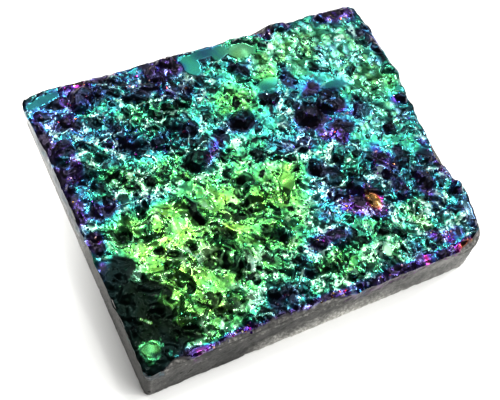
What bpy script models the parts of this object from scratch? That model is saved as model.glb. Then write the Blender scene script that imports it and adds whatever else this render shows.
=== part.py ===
"""Druzy stone: a small hand-cut slab of dark stone, sawn on its four sides and its base,
whose upper face is one crust of intergrown, metal-coated crystals.

The stone is one solid. It stands on its sawn base, with the origin at the middle of
that base, +X along its longer side and +Z out of the crust. Sizes in the lists below are
in millimetres and are turned into metres where the mesh is made.
"""
import math
import random

import bpy
import bmesh
from mathutils import Vector, noise
from mathutils.geometry import delaunay_2d_cdt

MM = 0.001

# Driving dimensions, in millimetres
WALL_HEIGHT = 3.35            # sawn wall, from the base up to the edge of the crust
CRUST_RISE = 0.15             # middle of the crust above its edge
RIM_WAVE = 0.12               # how far the edge of the crust wanders up and down
SWELL = 0.16                  # broad swells of the crust
SWELL_LENGTH = 6.0            # length of one swell
BASE_CHAMFER = 0.18           # worn lower edge
LIP = 1.10                    # thickness of the crust where it stands out over the walls
RIM_MARGIN = 0.30             # clear strip between the edge and the outermost crystal tips

# The slab was cut by hand, so its corners are not square and its walls lean a little.
# Corners run anticlockwise from the front left one: (x, y) of the rim and of the base.
RIM_CORNERS = ((-12.50, -10.30), (12.55, -10.40), (12.70, 10.20), (-12.65, 10.35))
BASE_CORNERS = ((-12.45, -10.70), (12.65, -10.60), (12.65, 10.50), (-12.40, 10.70))
CORNER_RADII = (0.45, 1.50, 0.50, 0.45)
CORNER_STEPS = (2, 5, 2, 2)
SIDE_STEPS = (32, 26, 34, 27)  # front, right, back, left

# Where the crust stands out over the wall: side, place along it, half length, how far
BULGES = (
    ("right", 8.0, 1.0, 0.20),
    ("right", 4.3, 3.4, 0.43),
    ("right", 3.7, 0.5, 0.25),
    ("right", -6.2, 0.6, 0.22),
    ("right", -7.0, 1.6, 0.32),
    ("left", 8.9, 0.9, 0.20),
    ("back", -10.4, 3.0, 0.25),
    ("back", -3.0, 1.2, 0.16),
    ("back", 3.2, 0.6, 0.10),
    ("back", 5.9, 0.9, 0.36),
    ("back", 9.4, 0.6, 0.20),
)
BULGE_REACH = 2.4             # how far in from the edge the crust follows a bulge
HALF_LENGTH = 12.5            # middle of the crust to its side edges
HALF_WIDTH = 10.2             # middle of the crust to its front and back edges
OUTWARDS = {"right": (1.0, 0.0), "left": (-1.0, 0.0), "back": (0.0, 1.0)}

# Large lumps: x, y, half length, half width, turn of the long side in degrees, height
LUMPS = (
    # back edge, left to right
    (-11.2, 9.8, 0.9, 0.5, 10, 0.25),
    (-8.9, 8.9, 0.9, 0.7, 0, 0.60),
    (-8.2, 9.9, 0.5, 0.4, 0, 0.40),
    (-6.3, 9.7, 0.6, 0.5, 0, 0.45),
    (-5.0, 7.9, 1.1, 0.5, 0, 0.65),
    (-3.7, 9.0, 0.7, 0.6, 90, 0.60),
    (-2.5, 9.75, 0.8, 0.5, 0, 0.60),
    (-0.6, 8.8, 0.8, 0.7, 60, 0.15),
    (0.9, 9.4, 0.7, 0.5, -30, 0.15),
    (3.2, 9.4, 0.9, 0.6, -20, 0.55),
    (6.0, 9.7, 1.2, 0.6, 5, 0.85),
    (9.6, 9.6, 0.6, 0.5, 0, 0.65),
    (11.9, 9.5, 0.6, 0.6, 0, 0.45),
    # upper middle and upper right
    (-10.6, 7.8, 0.5, 0.5, 0, 0.45),
    (2.0, 7.4, 0.9, 0.5, 100, 0.60),
    (5.0, 6.5, 0.7, 0.4, 60, 0.45),
    (6.9, 7.4, 0.7, 0.6, 20, 0.50),
    (11.7, 6.9, 0.7, 0.5, 20, 0.65),
    (-2.0, 7.3, 0.6, 0.5, 70, 0.45),
    (-6.3, 6.1, 0.8, 0.6, 60, 0.50),
    (-3.9, 6.5, 0.7, 0.6, -20, 0.45),
    (-8.3, 5.3, 0.8, 0.4, 10, 0.50),
    (-11.6, 5.4, 0.8, 0.4, 95, 0.45),
    # middle band
    (-11.1, 3.9, 0.8, 0.5, 100, 0.55),
    (-8.9, 2.7, 0.6, 0.6, 0, 0.50),
    (-5.2, 4.2, 0.8, 0.5, 25, 0.55),
    (-3.2, 4.4, 0.6, 0.5, 70, 0.55),
    (-1.4, 4.1, 0.5, 0.4, 0, 0.45),
    (0.4, 3.6, 1.0, 0.9, 0, 0.75),
    (3.0, 4.6, 0.8, 0.5, -10, 0.60),
    (5.1, 2.5, 1.1, 1.0, 60, 0.80),
    (7.1, 3.2, 0.9, 0.6, 80, 0.65),
    (9.1, 1.5, 0.9, 0.5, -10, 0.55),
    (10.5, 3.5, 0.7, 0.7, 0, 0.50),
    (12.1, 1.4, 0.5, 0.5, 0, 0.65),
    (12.15, 4.0, 0.5, 0.4, 90, 0.65),
    (12.15, 6.0, 0.4, 0.4, 0, 0.50),
    (-3.7, 1.9, 1.0, 0.8, 0, 0.75),
    (-6.6, 1.7, 0.7, 0.4, -30, 0.45),
    (-10.6, 0.9, 0.9, 0.5, 0, 0.50),
    (0.5, 0.9, 0.6, 0.4, 80, 0.50),
    (6.8, 0.6, 0.6, 0.5, 0, 0.55),
    (10.1, -0.3, 0.6, 0.5, 0, 0.50),
    # lower middle and lower right
    (-11.8, -1.3, 0.8, 0.5, 90, 0.40),
    (-5.3, -1.4, 1.3, 0.4, 105, 0.55),
    (-8.0, -1.3, 0.8, 0.6, 60, 0.45),
    (-0.9, -1.6, 0.6, 0.6, 0, 0.55),
    (1.6, -1.5, 0.6, 0.6, 0, 0.50),
    (3.8, -1.3, 0.8, 0.7, -40, 0.60),
    (5.6, -0.9, 0.8, 0.6, 30, 0.60),
    (-4.5, -3.7, 0.6, 0.5, 80, 0.55),
    (4.3, -3.8, 0.6, 0.5, 0, 0.50),
    (5.9, -3.6, 0.8, 0.7, 0, 0.65),
    (8.2, -2.8, 0.9, 0.6, 40, 0.60),
    (11.4, -3.2, 0.8, 0.7, 40, 0.55),
    (10.4, -4.7, 0.8, 0.6, -20, 0.65),
    (8.4, -4.8, 0.8, 0.5, 90, 0.55),
    (12.15, -6.1, 0.5, 0.4, 0, 0.70),
    (-9.6, -4.8, 0.9, 0.5, 30, 0.35),
    (-7.2, -4.5, 0.9, 0.6, 20, 0.50),
    (-0.5, -4.8, 0.8, 0.6, -30, 0.60),
    (2.1, -6.4, 1.1, 0.5, 0, 0.65),
    (-3.9, -5.5, 0.9, 0.7, 0, 0.55),
    # front edge
    (-11.7, -9.1, 0.5, 0.7, 20, 0.25),
    (-8.2, -7.5, 1.0, 0.7, -50, 0.50),
    (-5.4, -7.8, 0.8, 0.6, 70, 0.50),
    (-2.6, -8.3, 1.0, 0.8, 0, 0.55),
    (-0.2, -7.6, 0.9, 0.4, 90, 0.55),
    (1.6, -8.0, 0.8, 0.6, -40, 0.50),
    (2.9, -9.0, 0.8, 0.5, 0, 0.50),
    (5.2, -8.6, 0.7, 0.5, 90, 0.60),
    (6.9, -7.7, 0.6, 0.6, 0, 0.55),
    (8.9, -9.0, 0.7, 0.5, 0, 0.60),
    (9.0, -6.3, 0.7, 0.6, 20, 0.60),
    (11.4, -7.9, 0.8, 0.6, -40, 0.50),
)

# Where the crust is a net of ridges round pits: x, y, half length, half width
HOLLOWS = (
    (-8.0, -3.0, 3.3, 3.0),
    (-7.4, -7.0, 3.0, 2.4),
    (-2.4, -2.6, 2.8, 2.4),
    (1.4, -2.8, 1.4, 1.6),
    (-8.6, 3.4, 1.6, 1.2),
)
PIT_DEPTH = (0.14, 0.40)

# Small crystals, or pits in the hollows, fill the ground between the lumps
CRYSTAL_GAP = (0.78, 1.02)    # distance between neighbouring tips
CRYSTAL_HEIGHT = (0.22, 0.46)
CRYSTAL_TRIES = 16000
LUMP_CLEARANCE = 0.38         # from the flank of a lump to the nearest small tip
SHOULDER = 0.52               # shoulder of a small crystal, as a share of its spread
SHOULDER_LIFT = 0.66          # height of that shoulder, as a share of its height
LUMP_SHOULDER = 0.62
LUMP_SHOULDER_LIFT = 0.84
LONG_LUMP = 0.22              # a lump this much longer than wide has two tips
SADDLE = 0.62                 # height between those tips, as a share of the lump's height
LEAN = 0.14                   # how far a tip strays from the middle of its crystal
SEED = 41

CRUST_COLOUR = (0.05, 0.33, 0.27, 1.0)
CRUST_ROUGHNESS = 0.28
CRUST_METALLIC = 0.9


def clear_scene():
    """Remove the objects of the scene."""
    for item in list(bpy.data.objects):
        bpy.data.objects.remove(item, do_unlink=True)


def rounded_corners(corners, inset=0.0):
    """One arc of points for each corner, anticlockwise, moved inwards by inset."""
    middle = sum((Vector(corner) for corner in corners), Vector((0.0, 0.0))) / 4
    arcs = []
    for index, corner in enumerate(corners):
        here = Vector(corner)
        here += (middle - here).normalized() * inset * math.sqrt(2)
        before = (Vector(corners[index - 1]) - here).normalized()
        after = (Vector(corners[(index + 1) % 4]) - here).normalized()
        radius = CORNER_RADII[index]
        centre = here + (before + after) * radius
        turn = math.pi - before.angle(after)
        arc = []
        for step in range(CORNER_STEPS[index] + 1):
            angle = turn * step / CORNER_STEPS[index]
            spoke = -after * math.cos(angle) - before * math.sin(angle)
            arc.append(centre + spoke * radius)
        arcs.append(arc)
    return arcs


def whole_outline(corners):
    """The outline anticlockwise: each corner's arc, then the straight side after it."""
    arcs = rounded_corners(corners)
    outline = []
    for index, arc in enumerate(arcs):
        start, end = arc[-1], arcs[(index + 1) % 4][0]
        steps = SIDE_STEPS[index]
        outline += arc
        outline += [start.lerp(end, step / steps) for step in range(1, steps)]
    return outline


def ground(x, y):
    """Level of the ground under the crystals, above the base."""
    swell = noise.noise(Vector((x / SWELL_LENGTH, y / SWELL_LENGTH, 0.7)))
    edge = max(abs(x) / HALF_LENGTH, abs(y) / HALF_WIDTH)
    rise = CRUST_RISE * (1.0 - edge ** 4)
    return WALL_HEIGHT + rise + SWELL * swell


def push_out(mesh):
    """Let the crust stand out over the walls; the walls below stay as they were cut."""
    for vertex in mesh.verts:
        here = vertex.co.xy
        level = min(1.0, max(0.0, (vertex.co.z - WALL_HEIGHT + LIP) / LIP))
        for side, place, length, reach in BULGES:
            outwards = Vector(OUTWARDS[side])
            along = here.x if side == "back" else here.y
            depth = (HALF_WIDTH if side == "back" else HALF_LENGTH) - here.dot(outwards)
            share = level * min(1.0, max(0.0, 1.0 - depth / BULGE_REACH))
            vertex.co.xy += outwards * reach * share * math.exp(-((along - place) / length) ** 2)


def rim_level(x, y):
    """Level of the wandering edge where the crust meets the sawn wall."""
    wander = noise.noise(Vector((x * 0.9, y * 0.9, 5.3)))
    return WALL_HEIGHT + RIM_WAVE * wander


def inside(point, outline, margin):
    """True where point lies within the convex outline, at least margin from its edge."""
    for start, end in zip(outline, outline[1:] + outline[:1]):
        along = (end - start).normalized()
        if along.cross(point - start) < margin:
            return False
    return True


def clear_of_lumps(point):
    """True where a small crystal's tip stands clear of every lump."""
    for x, y, length, width, turn, _ in LUMPS:
        angle = math.radians(turn)
        offset = point - Vector((x, y))
        along = offset.x * math.cos(angle) + offset.y * math.sin(angle)
        across = -offset.x * math.sin(angle) + offset.y * math.cos(angle)
        reach = math.hypot(along / (length + LUMP_CLEARANCE), across / (width + LUMP_CLEARANCE))
        if reach < 1.0:
            return False
    return True


def in_hollow(point):
    """True where the crust is a net of ridges round pits."""
    return any(math.hypot((point.x - x) / length, (point.y - y) / width) < 1.0
               for x, y, length, width in HOLLOWS)


def lump_tips(x, y, length, width, turn):
    """One tip for a round lump, two along the long side for a long one."""
    spread = length - width
    if spread < LONG_LUMP:
        return [Vector((x, y))]
    along = Vector((math.cos(math.radians(turn)), math.sin(math.radians(turn)))) * spread
    return [Vector((x, y)) - along, Vector((x, y)) + along]


def plant_crystals(outline):
    """Lumps, then small crystals or pits wherever there is room.

    Returns a list of (tip, height, lump), where lump is the lump's number or None.
    """
    planted = []
    for number, (x, y, length, width, turn, height) in enumerate(LUMPS):
        for tip in lump_tips(x, y, length, width, turn):
            if inside(tip, outline, RIM_MARGIN):
                planted.append((tip, height, number))
    draw = random.Random(SEED)
    for _ in range(CRYSTAL_TRIES):
        x = draw.uniform(-HALF_LENGTH, HALF_LENGTH)
        point = Vector((x, draw.uniform(-HALF_WIDTH, HALF_WIDTH)))
        gap = draw.uniform(*CRYSTAL_GAP)
        height = draw.uniform(*CRYSTAL_HEIGHT)
        if not inside(point, outline, RIM_MARGIN) or not clear_of_lumps(point):
            continue
        if in_hollow(point):
            height = -draw.uniform(*PIT_DEPTH)
        if all((point - tip).length > gap for tip, _, lump in planted if lump is None):
            planted.append((point, height, None))
    return planted


def neighbour_triangles(outline, planted):
    """Triangles that join every tip and rim point to its neighbours."""
    points = list(outline) + [tip for tip, _, _ in planted]
    rim = list(range(len(outline)))
    result = delaunay_2d_cdt(points, [], [rim], 1, 1e-6)
    origin = [ids[0] for ids in result[3]]
    return [tuple(origin[corner] for corner in face) for face in result[2]]


def saddle_height(owners):
    """How far a low point is lifted because two of its three neighbours are one lump."""
    for _, height, lump in owners:
        if lump is not None and sum(1 for owner in owners if owner[2] == lump) > 1:
            return SADDLE * height
    return 0.0


def build_crust(mesh, outline, planted):
    """Fill mesh with the crystals and return the rim's vertices in order.

    Three tips enclose a triangle, whose middle is a point of the ground. Each crystal
    rises from the ring of such points round it: flanks up to a shoulder, and facets from
    there up to its tip. A pit sinks from its ring in the same way.
    """
    draw = random.Random(SEED + 1)
    triangles = neighbour_triangles(outline, planted)
    count = len(outline)
    rim = [mesh.verts.new((p.x, p.y, rim_level(p.x, p.y))) for p in outline]
    flat = list(outline) + [tip for tip, _, _ in planted]

    tips = {}
    for index, (tip, height, _) in enumerate(planted):
        lean = Vector((draw.uniform(-LEAN, LEAN), draw.uniform(-LEAN, LEAN)))
        spot = tip + lean
        tips[count + index] = mesh.verts.new((spot.x, spot.y, ground(*tip) + height))

    low = []
    sides = {}
    for number, corners in enumerate(triangles):
        spot = sum((flat[corner] for corner in corners), Vector((0.0, 0.0))) / 3
        owners = [planted[corner - count] for corner in corners if corner >= count]
        level = ground(spot.x, spot.y) + saddle_height(owners)
        low.append(mesh.verts.new((spot.x, spot.y, level)))
        for start, end in zip(corners, corners[1:] + corners[:1]):
            sides.setdefault(frozenset((start, end)), []).append(number)

    shoulders = {}

    def shoulder(owner, number):
        """Vertex on the shoulder of crystal owner, above the low point number."""
        if (owner, number) not in shoulders:
            tip, height, lump = planted[owner - count]
            share = SHOULDER if lump is None else LUMP_SHOULDER
            lift = SHOULDER_LIFT if lump is None else LUMP_SHOULDER_LIFT
            foot = low[number].co
            spot = tip.lerp(foot.xy, share)
            level = ground(*tip) + height * lift
            shoulders[owner, number] = mesh.verts.new((spot.x, spot.y, level))
        return shoulders[owner, number]

    for side, owners in sides.items():
        if len(owners) == 1:
            start, end = side
            mesh.faces.new((rim[start], rim[end], low[owners[0]]))
            continue
        first, second = owners
        for owner in side:
            if owner < count:
                mesh.faces.new((rim[owner], low[first], low[second]))
                continue
            left, right = shoulder(owner, first), shoulder(owner, second)
            mesh.faces.new((low[first], low[second], right, left))
            mesh.faces.new((left, right, tips[owner]))
    return rim


def build_walls(mesh, rim):
    """Sawn walls from the rim down to the worn lower edge; returns the lower corners.

    Just under the crust runs a row of vertices, one below each of the rim's, so that the
    crust can stand out over the wall while the wall below stays flat.
    """
    share = LIP / WALL_HEIGHT
    corners = [Vector(top).lerp(Vector(low), share) for top, low in zip(RIM_CORNERS, BASE_CORNERS)]
    row = [mesh.verts.new((p.x, p.y, WALL_HEIGHT - LIP)) for p in whole_outline(corners)]
    for index, vertex in enumerate(row):
        mesh.faces.new((rim[index], rim[index - 1], row[index - 1], vertex))

    foot = []
    for arc in rounded_corners(BASE_CORNERS):
        foot.append([mesh.verts.new((p.x, p.y, BASE_CHAMFER)) for p in arc])
    start = 0
    for index, corner in enumerate(foot):
        for step in range(len(corner) - 1):
            top = row[start + step], row[start + step + 1]
            mesh.faces.new((top[1], top[0], corner[step], corner[step + 1]))
        start += len(corner) - 1
        end = start + SIDE_STEPS[index]
        top = [row[number % len(row)] for number in range(start, end + 1)]
        mesh.faces.new(top[::-1] + [corner[-1], foot[(index + 1) % 4][0]])
        start = end
    return [vertex for corner in foot for vertex in corner]


def build_base(mesh, foot):
    """Worn lower edge and the flat sawn base, as one extruded and lowered outline."""
    edges = [mesh.edges.get((a, b)) for a, b in zip(foot, foot[1:] + foot[:1])]
    made = bmesh.ops.extrude_edge_only(mesh, edges=edges)
    fresh = {item for item in made["geom"] if isinstance(item, bmesh.types.BMVert)}
    inner = [point for arc in rounded_corners(BASE_CORNERS, BASE_CHAMFER) for point in arc]
    base = []
    for vertex, place in zip(foot, inner):
        twin = next(e.other_vert(vertex) for e in vertex.link_edges if e.other_vert(vertex) in fresh)
        twin.co = (place.x, place.y, 0.0)
        base.append(twin)
    mesh.faces.new(base)


def stone_material():
    """Metal-coated crystal."""
    material = bpy.data.materials.new("coated_crystal")
    material.use_nodes = True
    shader = material.node_tree.nodes["Principled BSDF"]
    shader.inputs["Base Color"].default_value = CRUST_COLOUR
    shader.inputs["Roughness"].default_value = CRUST_ROUGHNESS
    shader.inputs["Metallic"].default_value = CRUST_METALLIC
    return material


def build_stone():
    """The whole stone: crust, sawn walls and flat base in one closed solid."""
    outline = whole_outline(RIM_CORNERS)
    planted = plant_crystals(outline)
    mesh = bmesh.new()
    rim = build_crust(mesh, outline, planted)
    foot = build_walls(mesh, rim)
    build_base(mesh, foot)
    push_out(mesh)
    bmesh.ops.recalc_face_normals(mesh, faces=mesh.faces)
    bmesh.ops.scale(mesh, vec=(MM, MM, MM), verts=mesh.verts)
    bmesh.ops.triangulate(mesh, faces=mesh.faces)

    data = bpy.data.meshes.new("druzy_stone")
    mesh.to_mesh(data)
    mesh.free()
    data.materials.append(stone_material())
    return bpy.data.objects.new("druzy_stone", data)


def main():
    clear_scene()
    collection = bpy.data.collections.new("druzy_stone")
    bpy.context.scene.collection.children.link(collection)
    collection.objects.link(build_stone())


main()
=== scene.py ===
"""Druzy stone: the looks of a small sawn slab with a metal-coated crystal crust.

Three pieces are dressed over the stone: the crystal crust on its upper face, the small
crystals scattered over it, and the sawn stone under it. Lengths are in millimetres until
the meshes are made, in metres.
"""

import math

import bpy
import numpy as np
from mathutils import Matrix, Vector
from mathutils.bvhtree import BVHTree


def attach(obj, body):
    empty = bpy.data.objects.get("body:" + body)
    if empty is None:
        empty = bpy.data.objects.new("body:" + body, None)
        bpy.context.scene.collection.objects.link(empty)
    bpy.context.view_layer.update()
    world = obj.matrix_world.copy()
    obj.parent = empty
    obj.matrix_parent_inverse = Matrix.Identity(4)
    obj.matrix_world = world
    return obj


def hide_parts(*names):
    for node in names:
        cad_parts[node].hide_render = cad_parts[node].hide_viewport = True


MM = 0.001
LATTICE = 64                  # random numbers along each side of a table of noise
RAY_START = 0.02              # height in metres from which the stone's surface is felt for
RAY_INSET = 0.9995            # draws the places in a little, so that none misses the stone

# The slab's own corners, front left first and anticlockwise: rim and base outlines
RIM_CORNERS = np.array(((-12.50, -10.30), (12.55, -10.40), (12.70, 10.20), (-12.65, 10.35)))
BASE_CORNERS = np.array(((-12.45, -10.70), (12.65, -10.60), (12.65, 10.50), (-12.40, 10.70)))
CORNER_RADII = (0.45, 1.50, 0.50, 0.45)
WALL_HEIGHT = 3.35
BASE_CHAMFER = 0.18
HALF_LENGTH = 12.5
HALF_WIDTH = 10.2

# Where the crust stands out over the walls: side, place along it, half length, how far
BULGES = (
    ("right", 8.0, 1.0, 0.20),
    ("right", 4.3, 3.4, 0.43),
    ("right", 3.7, 0.5, 0.18),
    ("right", -6.2, 0.6, 0.22),
    ("right", -7.0, 1.6, 0.32),
    ("left", 8.9, 0.9, 0.17),
    ("back", -10.4, 3.0, 0.25),
    ("back", -3.0, 1.2, 0.16),
    ("back", 3.2, 0.6, 0.10),
    ("back", 5.9, 0.9, 0.36),
    ("back", 9.4, 0.6, 0.20),
)
BULGE_REACH = 2.4             # how far in from the edge the crust follows a bulge
LIP = 1.10                    # thickness of the crust where it stands out
OUTWARDS = {"right": (1.0, 0.0), "left": (-1.0, 0.0), "back": (0.0, 1.0)}

# Crust
CRUST_COLUMNS = 332
CRUST_ROWS = 266
CRUST_STEP = (0.077, 0.076)   # distance between its rows, and between its columns
CRUST_TOP = 4.25              # nothing on the crust stands higher
DRAPE = (0.12, 0.50)          # least and most that the crust's border reaches down the wall
DRAPE_ROWS = 8
LEFT_DRAPE = ((-0.9, -0.3, 5.5, 7.0), (0.0, 1.9, 2.0, 2.4))  # lower on the left: where, how much
FRONT_DRAPE = ((-11.2, -10.6, -9.9, -9.4, -8.4, -7.8, 0.6, 1.2, 3.6, 5.5, 6.8, 8.0),
               (0.7, 0.1, 0.3, 0.9, 0.9, 0.0, 0.0, 0.9, 0.7, 1.0, 0.6, 0.0))
BELLY = 0.10                  # how far it stands out halfway down the left wall
SKIRT_STEEP = 0.45            # how steep it counts where it hangs down
OUTLINE_RAGGED = 0.07         # how far the crust's border wanders in and out
BORDER_WEAR = 0.10            # how much lower the worn border is
WORN_EDGE = (-0.10, 0.22)     # distance from the edge where it is all worn, and not at all
STRAY = 0.16                  # how far to one side the lumps are sampled
BROAD_PASSES = 150            # rounds of averaging that leave only the broad level
GROUND_EASE = (0.10, 0.15)    # rises and dips up to this much are levelled: rough and calm ground
CALM = (0.44, 0.66)           # open share where calm ground starts, and where it is all calm
TUCK = 0.45                   # how far its hidden lower edge turns in under the rim
MEAN_REACH = 11.0             # mean distance of the rim from the middle
UNDERSIDE = 2.55              # level of the hidden face under the crust

# Small crystals scattered over the crust
CRYSTALS = 4200
CRYSTAL_RADIUS = (0.04, 0.11)
CRYSTAL_LENGTH = (0.8, 2.2)   # length in radii
CRYSTAL_POINT = 0.9           # length of the point on a shaft of length 1
CRYSTAL_LEAN = 0.75
CRYSTAL_SUNK = 0.45           # share of a crystal's length that stands in the crust
CRYSTAL_BORDER = (12.35, 10.15)  # none stands farther out than this

# Sawn stone
WALL_COLUMNS = 300
WALL_ROWS = 240
WALL_RINGS = 40
WALL_GIRTH = 92.0             # way round the walls
WALL_INSET = 0.02             # the crust's skirt stands this far proud of the stone
WALL_TOP = 3.22
WALL_CAP = (0.60, 2.62)       # the hidden top face: how far in it starts, and its level
FRONT_WALL = (9.9, 10.2)      # distance forwards where the front wall starts, and is full
LEFT_WALL = (12.0, 12.3)      # and the same to the left
GRAIN_DEPTH = 0.035           # of the coarse grain
FINE_DEPTH = 0.03             # of the fine grain
SAW_DEPTH = 0.008             # of the saw marks
PORE_DEPTH = 0.05
NICK_DEPTH = 0.10             # of the small chips along the lower edge
# The front wall's flare: its depth at three levels, and where along the wall it comes and goes
FLARE = ((0.0, 1.0, WALL_HEIGHT), (0.0, 0.24, 0.0))
FLARE_ENDS = ((-8.0, -4.5), (5.5, 8.5))

# Soft patches of the metal film: x, y, half length, half width, turn, film order, and weight
# where it isn't 1.
# The film runs from bronze (0) through magenta, violet, blue, teal and green to lime (1).
FILM_GROUND = 0.60
FILM_PATCHES = (
    # lime heart, lower left
    (-8.0, -2.0, 3.0, 2.2, 0, 0.97),
    (-7.4, -5.6, 3.0, 2.4, 30, 1.00),
    (-7.6, -8.2, 1.8, 1.0, 0, 1.00),
    (-3.0, -2.2, 2.6, 2.0, 0, 0.95),
    (-2.6, -5.0, 2.4, 1.8, 0, 0.93),
    (1.5, -2.0, 1.5, 1.6, 0, 0.95),
    (-11.5, -9.0, 0.9, 0.9, 0, 0.90),
    (-10.9, -7.1, 0.5, 0.6, 0, 1.00),
    (-6.0, 1.6, 2.2, 0.8, 10, 0.90),
    (-8.9, 2.7, 0.6, 0.6, 0, 0.97),
    (-1.6, 1.0, 1.6, 1.0, 0, 0.88),
    (1.8, -8.0, 1.3, 1.2, 0, 0.90),
    (5.2, -7.8, 1.4, 1.4, 0, 0.84),
    (8.7, -7.4, 0.3, 0.6, 20, 0.97),
    (8.9, -6.3, 0.7, 0.4, 0, 0.84),
    (5.4, -8.5, 0.4, 0.5, 0, 0.88),
    (-5.8, 6.2, 1.2, 0.8, 0, 0.82),
    (-3.4, 6.6, 0.8, 0.6, 0, 0.86),
    # upper right mint
    (4.0, 7.0, 1.2, 1.0, 0, 0.82),
    (6.3, 7.2, 1.6, 1.0, 0, 0.78),
    (6.8, 8.0, 0.9, 0.6, 0, 0.94),
    (2.9, 9.0, 1.0, 0.8, 0, 0.82),
    (9.6, 6.0, 2.4, 1.6, -30, 0.64),
    (10.6, 3.3, 1.6, 1.2, 0, 0.78),
    (0.8, 5.4, 1.2, 0.8, 0, 0.86),
    (4.0, 6.9, 0.6, 0.7, 0, 0.94),
    (10.9, 3.8, 0.9, 0.8, 0, 0.92),
    # teal and blue
    (-11.2, 9.8, 1.5, 0.6, 0, 0.48),
    (-12.3, 9.0, 0.5, 0.4, 0, 0.35),
    (-9.6, 10.0, 0.5, 0.35, 0, 0.19),
    (-0.9, 9.0, 0.8, 0.9, 0, 0.60),
    (0.3, 9.7, 1.0, 0.5, 0, 0.50),
    (1.5, 9.4, 0.6, 0.6, 0, 0.56),
    (-8.0, 0.6, 1.6, 0.5, 0, 0.42),
    (-8.4, 5.4, 1.6, 0.7, 0, 0.42),
    (3.0, 7.4, 0.4, 0.6, 0, 0.42),
    (3.5, 5.8, 0.9, 0.6, 0, 0.48),
    (8.1, 4.2, 0.9, 0.5, 0, 0.42),
    (7.9, 2.1, 0.8, 0.35, 0, 0.31),
    (12.6, 6.6, 0.5, 0.9, 0, 0.30),
    (11.0, -6.9, 0.7, 0.8, 0, 0.52),
    (11.2, -8.1, 0.7, 0.3, 0, 0.72),
    (12.4, -7.8, 0.5, 0.9, 0, 0.38),
    (12.6, -4.6, 0.5, 0.8, 0, 0.27),
    (5.0, 6.1, 0.4, 1.0, 0, 0.40),
    (-12.2, 4.2, 0.6, 1.4, 0, 0.45),
    (-12.2, 8.0, 0.5, 0.8, 0, 0.46),
    (-9.7, 4.6, 1.0, 0.9, 0, 0.76),
    (-11.0, 0.6, 1.0, 0.6, 0, 0.52),
    (-11.6, -3.0, 0.8, 1.0, 0, 0.62),
    (-5.2, 9.3, 1.6, 0.8, 0, 0.47),
    (9.0, 2.4, 1.6, 0.6, 0, 0.50),
    (6.4, 1.6, 1.4, 0.8, 0, 0.44),
    (3.0, 1.0, 1.4, 0.6, 0, 0.47),
    (3.2, -3.2, 0.9, 1.6, 0, 0.45),
    (8.4, -2.6, 1.2, 1.4, 0, 0.44),
    (10.0, -0.8, 1.8, 1.2, 0, 0.60),
    (12.2, -0.6, 0.6, 2.2, 0, 0.50),
    (10.6, -3.2, 1.0, 1.2, 0, 0.58),
    (9.2, -4.2, 1.0, 1.4, 0, 0.56),
    (6.4, -2.2, 1.2, 1.0, 0, 0.66),
    (12.3, 5.8, 0.5, 0.8, 0, 0.42),
    (7.0, 5.0, 1.8, 0.6, 10, 0.50),
    (0.9, -6.7, 0.8, 0.5, 0, 0.46),
    (12.0, -6.8, 0.8, 1.4, 0, 0.50),
    # violet
    (-11.2, 8.6, 1.2, 0.8, 0, 0.41),
    (-10.2, 7.8, 0.3, 1.5, 0, 0.32),
    (-11.2, 6.4, 1.2, 1.0, 0, 0.50),
    (-2.3, 2.1, 1.0, 0.4, 45, 0.25),
    (-3.2, 7.0, 0.8, 0.5, 0, 0.26),
    (-2.3, 9.4, 0.7, 0.6, 0, 0.24),
    (9.2, -2.7, 0.8, 0.4, -30, 0.25),
    (10.9, 9.7, 0.8, 0.6, 0, 0.20),
    (-1.6, 9.1, 0.3, 0.3, 0, 0.19),
    (5.3, 9.6, 0.3, 0.3, 0, 0.28),
    (6.9, 9.9, 0.3, 0.3, 0, 0.26),
    (6.5, 4.8, 0.7, 0.5, 0, 0.25),
    (10.0, -9.2, 0.35, 0.3, 0, 0.20),
    (10.7, -9.0, 0.35, 0.3, 0, 0.25),
    (9.0, -8.7, 0.3, 0.3, 0, 0.13),
    (2.2, -6.4, 1.0, 0.5, 0, 0.23),
    (10.2, -5.6, 0.5, 0.25, -30, 0.22),
    (-11.1, 4.8, 0.25, 0.6, 0, 0.12),
    (-12.1, -1.2, 0.5, 0.5, 0, 0.12),
    (-12.2, -2.7, 0.25, 0.35, 0, 0.25),
    (-10.3, 9.2, 0.3, 0.3, 0, 0.14),
    # left and back edges
    (-12.3, 3.4, 0.5, 2.6, 0, 0.46, 2),
    (-6.8, 10.2, 1.2, 0.2, 0, 0.26),
    # bronze and magenta spots
    (5.2, -5.1, 0.9, 0.35, -35, 0.14, 2),
    (6.35, -4.9, 0.3, 0.5, 0, 0.00, 12),
    (6.4, -5.9, 0.4, 0.3, 0, 0.18),
    (5.7, 0.8, 0.45, 0.3, -20, 0.14),
    (6.6, 0.1, 0.35, 0.25, 0, 0.13),
    (8.4, -1.4, 0.3, 0.4, 0, 0.15),
    (9.8, -2.0, 0.3, 0.3, 0, 0.16),
    (11.7, 1.6, 0.3, 0.3, 0, 0.14),
    (11.9, -2.0, 0.3, 0.3, 0, 0.14),
    (-12.5, 1.7, 0.3, 0.5, 0, 0.02),
    (-12.3, 0.7, 0.3, 0.3, 0, 0.08),
    (-12.3, 6.9, 0.4, 0.4, 0, 0.10),
    (-8.7, 10.2, 0.5, 0.3, 0, 0.01),
)

# Film order along the front rim, from left to right
FRONT_RIM = ((-11.0, -9.8, -9.0, -8.0, -6.6, -4.6, -3.0, -1.2, 0.5,
              2.4, 4.4, 6.0, 7.2, 7.7, 8.4, 9.6, 10.6, 12.0),
             (0.60, 0.45, 0.14, 0.20, 0.22, 0.24, 0.38, 0.24, 0.19,
              0.45, 0.24, 0.32, 0.30, 0.08, 0.40, 0.24, 0.04, 0.06))
FRONT_RIM_FROM = (-9.55, -9.95)  # where along y the rim's own film starts, and is full

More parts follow.
